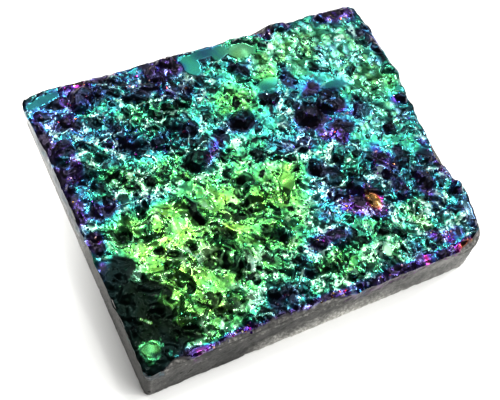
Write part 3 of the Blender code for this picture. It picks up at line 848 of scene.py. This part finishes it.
def shape_crust(x, y, level, rise):
    """Height and look of the crust at each place, as a dictionary of arrays.

    level is the stone's own surface and rise its height over the broad level around.
    """
    smooth = smoothness(x, y)
    open_share = openness(x, y)
    calm = calmness(open_share)
    hollow = ramp_up(patch_share(x, y, HOLLOW_PATCHES), *PATCH_EDGE)
    lump_dark = darkness(x, y)
    order = film_order(x, y)

    # dark lumps stand over the bright ground; where the ground is hollowed, dark pits lie in it.
    # Their darkness is partly their own tone and partly painted shade.
    along = (x * LUMP_RUN[0] + y * LUMP_RUN[1]) / LUMP_STRETCH
    across = y * LUMP_RUN[0] - x * LUMP_RUN[1]
    bend, bend_length = LUMP_BEND
    along = along + bend * layered_noise(x, y, bend_length, 11)
    across = across + bend * layered_noise(x, y, bend_length, 21)
    own_rise = LUMP_CAP * np.tanh(rise * (1 - 2 * hollow) / (LUMP_RISE * LUMP_CAP))
    body = (own_rise + LUMP_NOISE[0] * layered_noise(along, across, LUMP_NOISE[1], 91, 2)
            + BUMP_NOISE[0] * layered_noise(x, y, BUMP_NOISE[1], 96, 2))
    limit = LUMP_LIMIT[0] + LUMP_LIMIT[1] * open_share
    mass = ramp_up(body, limit + LUMP_EDGE[0], limit + LUMP_EDGE[1]) * (1 - smooth)

    # bright lines run round the lumps and between the cells of the ground, and grit lies there;
    # their brightness is painted highlight
    brink = np.exp(-((body - limit) / BRINK_WIDTH) ** 2)
    (loop, width), (long_loop, fine_width) = VEINS
    vein = np.exp(-(layered_noise(x, y, loop, 131, 2) / width) ** 2)
    long_vein = np.exp(-(layered_noise(along, across, long_loop, 136, 2) / fine_width) ** 2)
    vein = np.maximum(vein, long_vein)
    _, apart, cell = cells(along, across, WEB_CELL, 371)
    border = (1 - ramp_up(apart, *WEB_LINE)) * ramp_up(layered_noise(x, y, 1.4, 381, 2), *WEB_GAPS)
    web = np.clip(0.95 * vein + 0.55 * brink, 0, 1)
    web = np.maximum(web, border * (1 - 0.5 * mass)) * (1 - smooth)
    grit = ramp_up(layered_noise(x, y, GRIT_SIZE, 111, 2), *GRIT_FROM)
    bright = np.maximum(web, 0.9 * grit * (1 - 0.7 * mass) * (1 - calm) * (1 - smooth))

    # darkness of the ground, its pits, the lumps and their facets, partly their own tone and partly
    # painted shade, and painted glints on all of it
    points, point_owner = crystal_field(x, y, POINT_SIZE, POINT_SLOPE, 41)
    faces, face_owner = crystal_field(along, across, FACET_SIZE, FACET_SLOPE, 181)
    pits = ramp_up(layered_noise(x, y, PIT_SIZE, 116, 2), *PIT_FROM) * (1 - smooth)
    ground = GROUND_DARK[0] - 0.5 * (cell > 0.72)
    dark = ground + (GROUND_DARK[1] - ground) * np.maximum(calm, smooth)
    dark = np.maximum(dark, 0.50 * calm * pits)
    dark = np.maximum(dark, (LUMP_DARK + (PIT_DARK - LUMP_DARK) * hollow) * mass)
    dark = np.maximum(dark * (1 - 0.9 * bright), lump_dark * (1 - 0.5 * web * (1 - lump_dark ** 4)))
    # painted highlight on some facets of the lumps
    dark = dark * (1 - FACET_PAINTED_HIGHLIGHT * ramp_up(face_owner, 0.45, 0.95) * mass * (1 - hollow))
    glints = ramp_up(layered_noise(x, y, GLINT_SIZE, 421, 2), *GLINT_FROM) * (1 - smooth)
    glints = glints * (1 - 0.85 * hollow * lump_dark)
    dark = dark * (1 - 0.6 * glints)

    # pale beads with painted highlight, and painted shade in the gaps between them
    distance, _, owner = cells(x + 0.12 * layered_noise(x, y, 0.7, 431, 2),
                               y + 0.12 * layered_noise(x, y, 0.7, 441, 2), BEAD_SIZE, 301)
    beads = ramp_up(patch_share(x, y, BEAD_PATCHES), *PATCH_EDGE) * (1 - smooth) * (1 - lump_dark)
    pearl = beads * (owner > BEAD_SHARE) * np.exp(-(distance / BEAD_RADIUS) ** 4)
    dark = np.maximum(dark, BEAD_GAP_DARK * beads) * (1 - 0.95 * pearl)

    swell = np.clip(body - limit, 0, 1.4) * (1 - smooth)
    raised = (level + (LUMP_SWELL[0] + (LUMP_SWELL[1] - LUMP_SWELL[0]) * hollow) * swell
              + VEIN_RISE * vein * (1 - smooth)
              + FACET_RISE * faces * np.maximum(mass, lump_dark) * (1 - hollow)
              + (POINT_RISE - POINT_EASE * calm) * points * (1 - smooth) * (1 - 0.5 * mass)
              * (1 - 0.8 * beads) * (1 - 0.9 * bright) + BEAD_RISE * pearl
              + FINE_RISE * (1 - smooth) * layered_noise(x, y, 0.6, 51))

    # the film's order falls at the foot of the lumps and on them
    foot = np.clip(4 * dark * (1 - dark), 0, 1)
    film = (order + FILM_SPREAD * layered_noise(x, y, 0.8, 61) - FILM_FOOT * foot * (1 - 0.6 * calm)
            + FILM_SPREAD * (face_owner - 0.5) + FILM_SPREAD * (point_owner - 0.5) * (1 - smooth)
            + BEAD_FILM * (owner - 0.65) * pearl)
    film = np.maximum(film, np.minimum(order, FILM_STEEP))
    film = np.maximum(film - LUMP_FILM * lump_dark * (1 - hollow), np.minimum(film, FILM_STEEP))

    # frost and painted highlight: spots, pale faces, beads and the bright lines
    blotch = ramp_up(layered_noise(x, y, BLOTCH_SIZE, 291, 2), *BLOTCH_FROM)
    share = patch_share(x, y, FROST_AND_HIGHLIGHT_PATCHES)
    frost_and_highlight = np.maximum(blotch * np.clip(share * 1.4, 0, 1) * (1 - smooth),
                       ramp_up(share, *FULL_FROST_AND_HIGHLIGHT))
    frost_and_highlight = np.maximum(frost_and_highlight, patch_share(x, y, PALE_FACES) * smooth)
    frost_and_highlight = np.maximum(frost_and_highlight, BEAD_PAINTED_HIGHLIGHT * pearl)
    paleness = WEB_PAINTED_HIGHLIGHT * ramp_up(layered_noise(x, y, 0.8, 351, 2), -0.2, 0.5)
    paleness = paleness * (0.45 + 0.55 * ramp_up(order, 0.30, 0.55))
    lines = ramp_up(bright, 0.40, 0.75)
    frost_and_highlight = np.maximum(frost_and_highlight, paleness * lines * (1 - 0.85 * calm) * (1 - beads) * (1 - lump_dark))
    return {"level": raised, "dark": dark * (1 - 0.9 * frost_and_highlight), "film": film, "smooth": smooth,
            "frost_and_highlight": frost_and_highlight, "bright": bright}


def make_crust(tree):
    """The crystal crust: a fine grid shaped over the stone's upper face, with a skirt."""
    deselect()
    bpy.ops.mesh.primitive_grid_add(x_subdivisions=CRUST_COLUMNS, y_subdivisions=CRUST_ROWS, size=2)
    crust = bpy.context.object
    crust.name = "crystal_crust"
    bpy.ops.object.mode_set(mode="EDIT")
    bpy.ops.mesh.select_all(action="SELECT")
    bpy.ops.mesh.region_to_loop()
    extrude_down(DRAPE_ROWS + 1)
    bpy.ops.mesh.edge_face_add()
    bpy.ops.mesh.select_all(action="SELECT")
    bpy.ops.mesh.normals_make_consistent(inside=False)
    bpy.ops.object.mode_set(mode="OBJECT")

    flat = get_places(crust.data)
    u, v, row = flat[:, 0], flat[:, 1], -flat[:, 2].round()
    # the upper face's vertices in rows from the front, so that grids can be worked on
    top = np.flatnonzero(row == 0)
    order = top[np.lexsort((u[top].round(5), v[top].round(5)))]
    columns = len(np.unique(u[top].round(5)))

    def as_grid(values):
        return values[order].reshape(-1, columns)

    cut = side_to_slab(u, v, RIM_CORNERS)
    place = cut + stand_out(cut, WALL_HEIGHT)
    x, y = place[:, 0], place[:, 1]
    edge = np.minimum((1 - np.abs(u)) * HALF_LENGTH, (1 - np.abs(v)) * HALF_WIDTH)
    # the lumps are sampled a little to one side here and there, which makes them ragged
    stray = np.column_stack((layered_noise(x, y, 0.7, 331, 2), layered_noise(x, y, 0.7, 341, 2)))
    sampled = place + STRAY * stray * np.clip(edge, 0, 1)[:, None]
    grid = soften(cad_levels(tree, sampled[order]).reshape(-1, columns), 1)
    broad = soften(grid, BROAD_PASSES)
    rise = np.zeros(len(x))
    rise[order] = (grid - broad).ravel()
    # the ground between the crystals and the pits is worn level
    ease = GROUND_EASE[0] + (GROUND_EASE[1] - GROUND_EASE[0]) * as_grid(calmness(openness(x, y)))
    levelled = np.sign(grid - broad) * np.maximum(np.abs(grid - broad) - ease, 0)
    levelled = levelled * (1 - as_grid(smoothness(x, y)))
    level = np.full(len(x), WALL_HEIGHT)
    level[order] = (broad + soften(levelled, 1)).ravel()
    look = shape_crust(x, y, level, rise)

    # the border is worn round, and chipped away to bare stone here and there
    worn = 1 - ramp_up(edge, *WORN_EDGE)
    bare = chipping(x, y, edge)
    height = look["level"] - BORDER_WEAR * worn
    chipped = WALL_HEIGHT - CHIP_DROP - CHIP_SLOPE * np.clip(CHIP_DEPTH - edge, 0, CHIP_DEPTH)
    chipped = chipped + CHIP_GRAIN[0] * layered_noise(x, y, CHIP_GRAIN[1], 191)
    height = np.minimum(height * (1 - bare) + chipped * bare, CRUST_TOP)
    steep = np.full(len(x), SKIRT_STEEP)
    steep[order] = steepness(as_grid(height)).ravel()

    # the skirt hangs down the wall by an uneven amount, then turns in
    fall = DRAPE[0] + (DRAPE[1] - DRAPE[0]) * ramp_up(layered_noise(x, y, 1.5, 161), -1.0, 1.2)
    left = ramp_up(-x, HALF_LENGTH - 1.0, HALF_LENGTH - 0.5)
    hung = left * np.interp(y, *LEFT_DRAPE) + np.interp(x, *FRONT_DRAPE) * (y < -10.0)
    fall = fall + hung * (0.85 + 0.15 * smooth_noise(x, y, 0.9, 391))
    share = np.clip(row / DRAPE_ROWS, 0, 1)
    height = height - fall * share
    slope = np.clip(1 - height / WALL_HEIGHT, 0, 1)[:, None]
    hanging = cut * (1 - slope) + side_to_slab(u, v, BASE_CORNERS) * slope + stand_out(cut, height)
    ripple = 0.03 * (layered_noise(x * 3, y * 3 + 3 * height, 0.9, 171) - 1.2) * (share > 0)
    outward = place / np.linalg.norm(place, axis=1)[:, None]
    hanging = hanging + outward * np.minimum(ripple, 0)[:, None]
    wander = layered_noise(x, y, 0.75, 401, 2) - 0.6 * (1 - left)
    wander = OUTLINE_RAGGED * np.clip(wander, -1, 1)
    wander = wander * (1 - ramp_up(edge, 0.0, 0.5)) * np.clip(1.6 - 1.6 * share, 0, 1)
    hanging = hanging + outward * wander[:, None]
    belly = BELLY * left * np.clip(hung, 0, 1) * np.sin(math.pi * np.clip(share, 0, 1))
    hanging[:, 0] -= belly * (y > -2)
    where = np.where((row > 0)[:, None], hanging, place + outward * wander[:, None])
    last = row == DRAPE_ROWS + 1
    where[last] = cut[last] * (1 - TUCK / MEAN_REACH)
    height[last] = UNDERSIDE

    # the film dims on dark ground; painted shade dims it on steep faces and on the skirt of the
    # hidden right and back sides, and down the skirt it thins out and darkens
    film = np.maximum(look["film"] - FILM_TILT * (1 - 0.7 * left) * steep,
                      np.minimum(look["film"], FILM_STEEP))
    hung_film = np.clip(look["film"] - 0.15, 0.15 + 0.25 * left, 0.50)
    lit = (1 - ramp_up(look["dark"], *CONTRAST)) ** 1.3
    # painted shade on steep faces, less where the bright lines run
    lit = lit * (1 - 1.1 * np.clip(steep, 0, 0.6) * (1 - 0.6 * look["bright"]))
    patchy = ramp_up(layered_noise(x + y, 1.5 * height, 0.3, 261), 0.2, 0.7)
    patchy = patchy * (1 - 0.75 * np.clip(hung, 0, 1))
    # painted shade on the skirt of the hidden right and back sides
    hidden_side_shade = np.maximum(ramp_up(x, 12.0, 12.4), ramp_up(y, 9.9, 10.15))
    hung_lit = (0.03 + 0.80 * patchy) * (1 - 0.5 * share) * (1 - 0.75 * hidden_side_shade)
    lit = np.where(row > 0, hung_lit, lit) * (1 - look["smooth"] * (1 - smooth_light(x, y)))
    ending = ramp_up(share + 0.12 * layered_noise(x, y, 0.5, 271), 0.88, 0.98)
    set_places(crust.data, np.column_stack((where, height)))
    set_values(crust.data, {"film": np.clip(np.where(row > 0, hung_film, film), 0, 1),
                            "lit": np.clip(lit, 0, 1),
                            "dark": look["dark"],
                            "bare": np.maximum(bare, ending),
                            "frost_and_highlight": look["frost_and_highlight"] * (row == 0)})
    smooth_shade(crust, 32)
    return crust


def make_crystals(crust):
    """Small six-sided crystals standing all over the crust: one is modelled, then arrayed."""
    deselect()
    bpy.ops.mesh.primitive_cylinder_add(vertices=6, radius=1, depth=1, location=(0, 0, 0))
    crystals = bpy.context.object
    crystals.name = "small_crystals"
    bpy.ops.object.mode_set(mode="EDIT")
    bpy.ops.mesh.select_all(action="DESELECT")
    bpy.ops.object.mode_set(mode="OBJECT")
    upper = [face for face in crystals.data.polygons if face.normal.z > 0.9][0]
    upper.select = True
    bpy.ops.object.mode_set(mode="EDIT")
    bpy.ops.mesh.extrude_region_move(TRANSFORM_OT_translate={"value": (0, 0, CRYSTAL_POINT)})
    bpy.ops.mesh.merge(type="CENTER")
    bpy.ops.object.mode_set(mode="OBJECT")
    array = crystals.modifiers.new("array", "ARRAY")
    array.count = CRYSTALS
    array.use_relative_offset = False
    bpy.ops.object.modifier_apply(modifier="array")

    # each crystal is one unit long, from its foot up
    shape = get_places(crystals.data).reshape(CRYSTALS, -1, 3)
    shape[:, :, 2] = (shape[:, :, 2] + 0.5) / (1 + CRYSTAL_POINT)
    ground = get_places(crust.data) / MM
    lit = get_values(crust.data, "lit").astype(float)
    film = get_values(crust.data, "film")
    normals = np.empty(len(ground) * 3, np.float32)
    crust.data.vertices.foreach_get("normal", normals)
    normals = normals.reshape(-1, 3)

    # they stand where the film is bright, and lean this way and that
    chance = np.random.default_rng(301)
    smooth = smoothness(ground[:, 0], ground[:, 1])
    cut = np.abs(ground[:, :2] - stand_out(ground[:, :2], WALL_HEIGHT))
    inside = (cut[:, 0] < CRYSTAL_BORDER[0]) & (cut[:, 1] < CRYSTAL_BORDER[1])
    calm = calmness(openness(ground[:, 0], ground[:, 1]))
    wanted = (0.06 + lit) * (1 - smooth) * (1 - 0.6 * calm) * inside * (normals[:, 2] > 0.2)
    picked = chance.choice(len(ground), CRYSTALS, replace=False, p=wanted / wanted.sum())
    thin, thick = CRYSTAL_RADIUS
    radius = thin + (thick - thin) * chance.random(CRYSTALS) ** 2
    short, long = CRYSTAL_LENGTH
    length = radius * (short + (long - short) * chance.random(CRYSTALS))
    axis = normals[picked] + CRYSTAL_LEAN * chance.normal(size=(CRYSTALS, 3)) * (1, 1, 0.2)
    axis[:, 2] = np.maximum(axis[:, 2], 0.25)
    axis /= np.linalg.norm(axis, axis=1)[:, None]
    spin = chance.random(CRYSTALS) * math.pi
    side = np.cross(axis, np.column_stack((np.cos(spin), np.sin(spin), np.zeros(CRYSTALS))))
    side /= np.linalg.norm(side, axis=1)[:, None]
    ahead = np.cross(side, axis)
    foot = ground[picked] - axis * (length * CRYSTAL_SUNK)[:, None]
    shape[:, :, 0] += 0.3 * shape[:, :, 2] * (chance.random(CRYSTALS)[:, None] - 0.5)
    places = (foot[:, None] + radius[:, None, None] * (shape[:, :, :1] * side[:, None]
              + shape[:, :, 1:2] * ahead[:, None])
              + length[:, None, None] * shape[:, :, 2:] * axis[:, None])
    places[:, :, 2] = np.minimum(places[:, :, 2], CRUST_TOP + 0.01)
    set_places(crystals.data, places.reshape(-1, 3))

    own_film = film[picked] + 0.26 * (chance.random(CRYSTALS) - 0.7) - 0.1 * (1 - axis[:, 2])
    # painted highlight: each crystal is lit a little brighter than the crust under it, and about a
    # third are paled
    looks = {"film": np.clip(own_film, 0, 1),
             "lit": np.clip(lit[picked] * 1.3 + 0.03, 0, 1),
             "dark": np.zeros(CRYSTALS),
             "bare": np.zeros(CRYSTALS),
             "frost_and_highlight": 0.5 * (chance.random(CRYSTALS) < 0.35)}
    corners = shape.shape[1]
    set_values(crystals.data, {name: np.repeat(own, corners) for name, own in looks.items()})
    return crystals


# ---------------------------------------------------------------- sawn stone

def square_border(columns, rows):
    """Even steps round a square from -1 to 1, anticlockwise from the front left corner."""
    along = np.arange(columns) / columns * 2 - 1
    up = np.arange(rows) / rows * 2 - 1
    u = np.concatenate((along, np.ones(rows), -along, -np.ones(rows)))
    v = np.concatenate((-np.ones(columns), up, np.ones(columns), -up))
    return u, v


def stone_relief(x, y, z, around):
    """How far the sawn stone lies in from its outline, for each place on the walls."""
    front = ramp_up(-y, *FRONT_WALL)
    left = ramp_up(-x, *LEFT_WALL)
    grain = 0.5 + 0.5 * layered_noise(around, z, 0.34, 201)
    fine = 0.5 + 0.5 * smooth_noise(around, z, 0.13, 211)
    saw = 0.5 + 0.5 * smooth_noise(around * 0.06 + z * 0.3, z, 0.13, 221)
    pores = ramp_up(smooth_noise(around, z, 0.45, 231), 0.55, 0.95)
    rough = 0.35 + 0.65 * front - 0.1 * left
    inset = (rough * (GRAIN_DEPTH * grain + FINE_DEPTH * fine) + SAW_DEPTH * saw * (1 - front)
             + PORE_DEPTH * pores)
    # the front flares out to a granular lower bevel along its middle
    flare = front * ramp_up(x, *FLARE_ENDS[0]) * (1 - ramp_up(x, *FLARE_ENDS[1]))
    inset += flare * np.interp(z, *FLARE) * ramp_up(z, 0.2, 1.0)
    # chips along the lower edge
    nicks = ramp_up(layered_noise(around, z * 0, 1.1, 251), 0.2, 1.1)
    inset += NICK_DEPTH * nicks * (1 - ramp_up(z, 0.05, 0.35))
    return inset


def make_walls():
    """The sawn stone under the crust: its four walls and the flat base it rests on."""
    deselect()
    u, v = square_border(WALL_COLUMNS, WALL_ROWS)
    steps = len(u)
    next_u, next_v = np.roll(u, -1), np.roll(v, -1)
    bpy.ops.mesh.primitive_circle_add(vertices=steps, radius=1, fill_type="NOTHING")
    walls = bpy.context.object
    walls.name = "sawn_stone"
    bpy.ops.object.mode_set(mode="EDIT")
    bpy.ops.mesh.select_all(action="SELECT")
    extrude_down(WALL_RINGS)
    bpy.ops.mesh.edge_face_add()
    bpy.ops.object.mode_set(mode="OBJECT")

    flat = get_places(walls.data)
    ring = -flat[:, 2].round()
    # a vertex's number round the ring follows from its angle
    turn = np.arctan2(flat[:, 1], flat[:, 0])
    first = np.arctan2(flat[0, 1], flat[0, 0])
    number = ((turn - first) / (2 * math.pi) * steps).round().astype(int) % steps
    lip = ring == 0
    z = np.where(lip, WALL_CAP[1], WALL_TOP * (WALL_RINGS - ring) / (WALL_RINGS - 1))
    rim = side_to_slab(u[number], v[number], RIM_CORNERS)
    base = side_to_slab(u[number], v[number], BASE_CORNERS)
    share = (z / WALL_HEIGHT)[:, None]
    place = base * (1 - share) + rim * share + stand_out(rim, z)
    step = side_to_slab(next_u[number], next_v[number], RIM_CORNERS) - rim
    step /= np.linalg.norm(step, axis=1)[:, None]
    inward = np.column_stack((-step[:, 1], step[:, 0]))
    around = number * (WALL_GIRTH / steps)
    inset = WALL_INSET + stone_relief(place[:, 0], place[:, 1], z, around)
    inset = inset + np.clip(BASE_CHAMFER - z, 0, BASE_CHAMFER) + WALL_CAP[0] * lip
    set_places(walls.data, np.column_stack((place + inward * inset[:, None], z)))
    bpy.ops.object.mode_set(mode="EDIT")
    bpy.ops.mesh.select_all(action="SELECT")
    bpy.ops.mesh.select_mode(type="EDGE")
    bpy.ops.mesh.select_non_manifold()
    bpy.ops.mesh.edge_face_add()
    bpy.ops.mesh.select_all(action="SELECT")
    bpy.ops.mesh.normals_make_consistent(inside=False)
    bpy.ops.object.mode_set(mode="OBJECT")
    smooth_shade(walls, 50)
    return walls


# ---------------------------------------------------------------- shader nodes

def join(tree, node, inputs):
    """Give each input of a node its value, or join it to the socket it reads."""
    for name, value in inputs.items():
        if isinstance(value, bpy.types.NodeSocket):
            tree.links.new(value, node.inputs[name])
        else:
            node.inputs[name].default_value = value


def add_node(tree, kind, output, inputs=None, **settings):
    """Add a shader node with its settings and inputs, and return one of its outputs."""
    node = tree.nodes.new(kind)
    for name, setting in settings.items():
        setattr(node, name, setting)
    join(tree, node, inputs or {})
    return node.outputs[output]


def attribute(tree, name):
    return add_node(tree, "ShaderNodeAttribute", "Fac", attribute_name=name)


def noise(tree, scale, detail, rough=0.6):
    place = add_node(tree, "ShaderNodeTexCoord", "Object")
    return add_node(tree, "ShaderNodeTexNoise", "Fac", {"Vector": place, "Scale": scale,
                                                        "Detail": detail, "Roughness": rough})


def blend(tree, factor, first, second, kind="MIX"):
    """A colour between two colours."""
    first, second = (value if isinstance(value, bpy.types.NodeSocket) else (*value, 1)
                     for value in (first, second))
    return add_node(tree, "ShaderNodeMix", "Result", {"Factor": factor, "A": first, "B": second},
                    data_type="RGBA", blend_type=kind)


def between(tree, factor, first, second):
    """A number between two numbers."""
    return add_node(tree, "ShaderNodeMix", "Result", {"Factor": factor, "A": first, "B": second})


def remap(tree, value, start, end, low=0.0, high=1.0, kind="LINEAR"):
    """Low at start, high at end, and between them in between."""
    if start > end:
        start, end, low, high = end, start, high, low
    inputs = {"Value": value, "From Min": start, "From Max": end, "To Min": low, "To Max": high}
    return add_node(tree, "ShaderNodeMapRange", "Result", inputs, interpolation_type=kind)


def step(tree, value, start, end):
    """0 at start, 1 at end, smooth between."""
    return remap(tree, value, start, end, kind="SMOOTHSTEP")


def compute(tree, operation, *values):
    return add_node(tree, "ShaderNodeMath", "Value", dict(enumerate(values)), operation=operation)


def colour_ramp(tree, value, stops):
    """Colours along a row of stops, each with its position and its colour or grey."""
    colour = add_node(tree, "ShaderNodeValToRGB", "Color", {"Fac": value})
    elements = colour.node.color_ramp.elements
    elements.remove(elements[-1])
    for number, (position, tone) in enumerate(stops):
        element = elements[0] if number == 0 else elements.new(position)
        element.position = position
        element.color = (*(tone if isinstance(tone, tuple) else (tone,) * 3), 1)
    return colour


def new_material(name):
    """A new material, its tree and its shader."""
    material = bpy.data.materials.new(name)
    material.use_nodes = True
    return material, material.node_tree, material.node_tree.nodes["Principled BSDF"]


# ---------------------------------------------------------------- materials

def crust_material():
    """Metal film on crystal: hue from the film's order, dark lumps, glossy facets; its lit and dark
    numbers carry painted shade, and its pale film painted highlight.
    """
    material, tree, shader = new_material("coated_crystal")
    film, lit, dark, bare, frost_and_highlight = (attribute(tree, name)
                                    for name in ("film", "lit", "dark", "bare", "frost_and_highlight"))
    colour = colour_ramp(tree, film, FILM_COLOURS)
    paled_film = blend(tree, frost_and_highlight, colour, blend(tree, FROST_AND_HIGHLIGHT_SHARE, colour, FROST_AND_HIGHLIGHT_COLOUR))
    colour = blend(tree, lit, colour_ramp(tree, film, SHADE_COLOURS), paled_film)
    chip = colour_ramp(tree, noise(tree, 4200, 3, 0.5), CHIP_COLOURS)
    rough = remap(tree, dark, 0, 1, *FILM_ROUGH)
    # frost scatters light, and painted highlights must stay bright from every side, so both are
    # less of a mirror
    metal = remap(tree, frost_and_highlight, 0, 1, 1.0, FROST_AND_HIGHLIGHT_METAL)
    join(tree, shader, {"Base Color": blend(tree, bare, colour, chip),
                        "Roughness": between(tree, bare, rough, CHIP_ROUGH),
                        "Metallic": between(tree, bare, metal, 0.0),
                        "Coat Weight": 0.02,
                        "Coat Roughness": 0.10})
    return material


def stone_material():
    """Sawn grey stone: mottled and speckled, with a pale worn bevel on the front wall."""
    material, tree, shader = new_material("sawn_stone")
    place = add_node(tree, "ShaderNodeTexCoord", "Object")
    x, y, z = (add_node(tree, "ShaderNodeSeparateXYZ", axis, {0: place}) for axis in "XYZ")
    mottle = step(tree, noise(tree, 700, 5), 0.35, 0.68)
    grain = step(tree, noise(tree, 5200, 3), 0.42, 0.62)
    specks = step(tree, noise(tree, 2600, 2), 0.66, 0.72)
    # the left wall is cut clean and pale, the front is darker and granular
    left = step(tree, x, *LEFT_FACE)
    colour = blend(tree, left, blend(tree, mottle, *STONE_TONES), blend(tree, mottle, *LEFT_TONES))
    grains = blend(tree, left, blend(tree, mottle, *GRAIN_TONES), LEFT_GRAIN)
    colour = blend(tree, specks, blend(tree, grain, colour, grains), SPECK_COLOUR)
    # painted shade darkens the left wall towards the front corner; the front wall darkens away from
    # the right one
    length = remap(tree, y, -HALF_WIDTH * MM, HALF_WIDTH * MM)
    across = remap(tree, x, -HALF_LENGTH * MM, HALF_LENGTH * MM)
    shade = blend(tree, left, (1, 1, 1), colour_ramp(tree, length, LEFT_PAINTED_SHADE))
    colour = blend(tree, 1.0, colour, shade, "MULTIPLY")
    shade = blend(tree, left, colour_ramp(tree, across, FRONT_SHADE), (1, 1, 1))
    colour = blend(tree, 1.0, colour, shade, "MULTIPLY")
    # the lower part of the front wall is worn to a pale granular bevel
    top = colour_ramp(tree, across, BEVEL)
    level = compute(tree, "MULTIPLY_ADD", noise(tree, 1500, 4, 0.75), BEVEL_GRAIN * MM, z)
    level = compute(tree, "MULTIPLY", level, -1)
    below = compute(tree, "MULTIPLY_ADD", top, WALL_HEIGHT * MM, level)
    worn = compute(tree, "MULTIPLY", step(tree, below, BEVEL_FADE[0] * MM, BEVEL_FADE[1] * MM),
                   step(tree, y, *FRONT_FACE))
    colour = blend(tree, worn, colour, blend(tree, grain, *BEVEL_TONES))
    bump = add_node(tree, "ShaderNodeBump", "Normal",
                    {"Strength": 0.5, "Distance": 0.00004, "Height": noise(tree, 7000, 3)})
    join(tree, shader, {"Base Color": colour, "Roughness": STONE_ROUGH, "Specular IOR Level": 0.3,
                        "Normal": bump})
    return material


# ---------------------------------------------------------------- stage

def make_floor():
    deselect()
    bpy.ops.mesh.primitive_plane_add(size=4, location=(0, 0, 0))
    floor = bpy.context.object
    floor.name = "floor"
    material, tree, shader = new_material("pale_floor")
    join(tree, shader, {"Base Color": (0.86, 0.86, 0.84, 1), "Roughness": 0.9})
    floor.data.materials.append(material)


def look_from(azimuth, elevation):
    """The direction from the stone towards an azimuth and elevation in degrees."""
    az, el = math.radians(azimuth), math.radians(elevation)
    return Vector((math.sin(az) * math.cos(el), -math.cos(az) * math.cos(el), math.sin(el)))


def add_lamp(name, place, towards, size, brightness):
    """A square area light that shines against a direction."""
    light = bpy.data.lights.new(name, "AREA")
    light.energy = brightness * math.pi * size ** 2
    light.size = size
    lamp = bpy.data.objects.new(name, light)
    lamp.location = place
    lamp.rotation_euler = towards.to_track_quat("Z", "Y").to_euler()
    bpy.context.scene.collection.objects.link(lamp)
    return lamp


def make_lights():
    """Softboxes, fills, and a white tent that is brighter towards the window."""
    for name, azimuth, elevation, size, brightness in SOFTBOXES:
        direction = look_from(azimuth, elevation)
        lamp = add_lamp(name, direction * LIGHT_DISTANCE, direction, size, brightness)
        lamp.visible_diffuse = name not in SPARKLES
    for name, place, aim, size, brightness in FILLS:
        towards = Vector(place) - Vector(aim)
        lamp = add_lamp(name, Vector(place) * MM, towards, size * MM, brightness)
        lamp.visible_glossy = False
    world = bpy.data.worlds.new("studio")
    bpy.context.scene.world = world
    world.use_nodes = True
    tree = world.node_tree
    direction = add_node(tree, "ShaderNodeTexCoord", "Generated")
    toward = add_node(tree, "ShaderNodeVectorMath", "Value", {0: direction, 1: WINDOW_DIRECTION},
                      operation="DOT_PRODUCT")
    strength = remap(tree, toward, 0.0, 1.0, TENT_LIGHT, WINDOW_LIGHT, "SMOOTHSTEP")
    # what is seen is plain white, and what the film reflects is mostly dark cards
    for ray, value in (("Is Camera Ray", SKY_SEEN), ("Is Glossy Ray", SKY_REFLECTED)):
        strength = between(tree, add_node(tree, "ShaderNodeLightPath", ray), strength, value)
    join(tree, tree.nodes["Background"], {"Color": (1, 1, 1, 1), "Strength": strength})


def make_camera():
    """Camera at the solved place, rolled as it was held."""
    back, roll = look_from(CAMERA_AZIMUTH, CAMERA_ELEVATION), math.radians(CAMERA_ROLL)
    right = (-back).cross(Vector((0, 0, 1))).normalized()
    up = right.cross(-back)
    rolled_right = right * math.cos(roll) + up * math.sin(roll)
    rolled_up = up * math.cos(roll) - right * math.sin(roll)
    data = bpy.data.cameras.new("camera")
    data.sensor_width = SENSOR_WIDTH
    data.lens = CAMERA_FOCAL_PIXELS / IMAGE_WIDTH * SENSOR_WIDTH
    data.clip_start = 0.001
    camera = bpy.data.objects.new("camera", data)
    camera.rotation_euler = Matrix((rolled_right, rolled_up, back)).transposed().to_euler()
    camera.location = (Vector(CAMERA_TARGET) + back * CAMERA_DISTANCE) * MM
    bpy.context.scene.collection.objects.link(camera)
    bpy.context.scene.camera = camera


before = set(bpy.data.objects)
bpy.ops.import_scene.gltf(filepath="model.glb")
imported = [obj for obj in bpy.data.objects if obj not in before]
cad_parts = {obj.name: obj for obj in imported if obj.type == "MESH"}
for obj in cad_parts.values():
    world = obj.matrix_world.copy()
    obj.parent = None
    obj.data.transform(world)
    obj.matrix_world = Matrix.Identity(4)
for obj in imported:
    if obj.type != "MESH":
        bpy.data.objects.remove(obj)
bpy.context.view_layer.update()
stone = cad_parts["druzy_stone"]
stone_tree = BVHTree.FromPolygons([v.co[:] for v in stone.data.vertices],
                                  [p.vertices[:] for p in stone.data.polygons])
make_camera()
make_lights()
make_floor()
crust = make_crust(stone_tree)
crystals = make_crystals(crust)
walls = make_walls()
film_look = crust_material()
for piece, slot, material in ((crust, "coated_crystal", film_look),
                              (crystals, "coated_crystal", film_look),
                              (walls, "sawn_stone", stone_material())):
    piece.data.materials.append(material)
    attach(piece, "root")
    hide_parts("druzy_stone")
bpy.context.scene.view_settings.view_transform = "Standard"
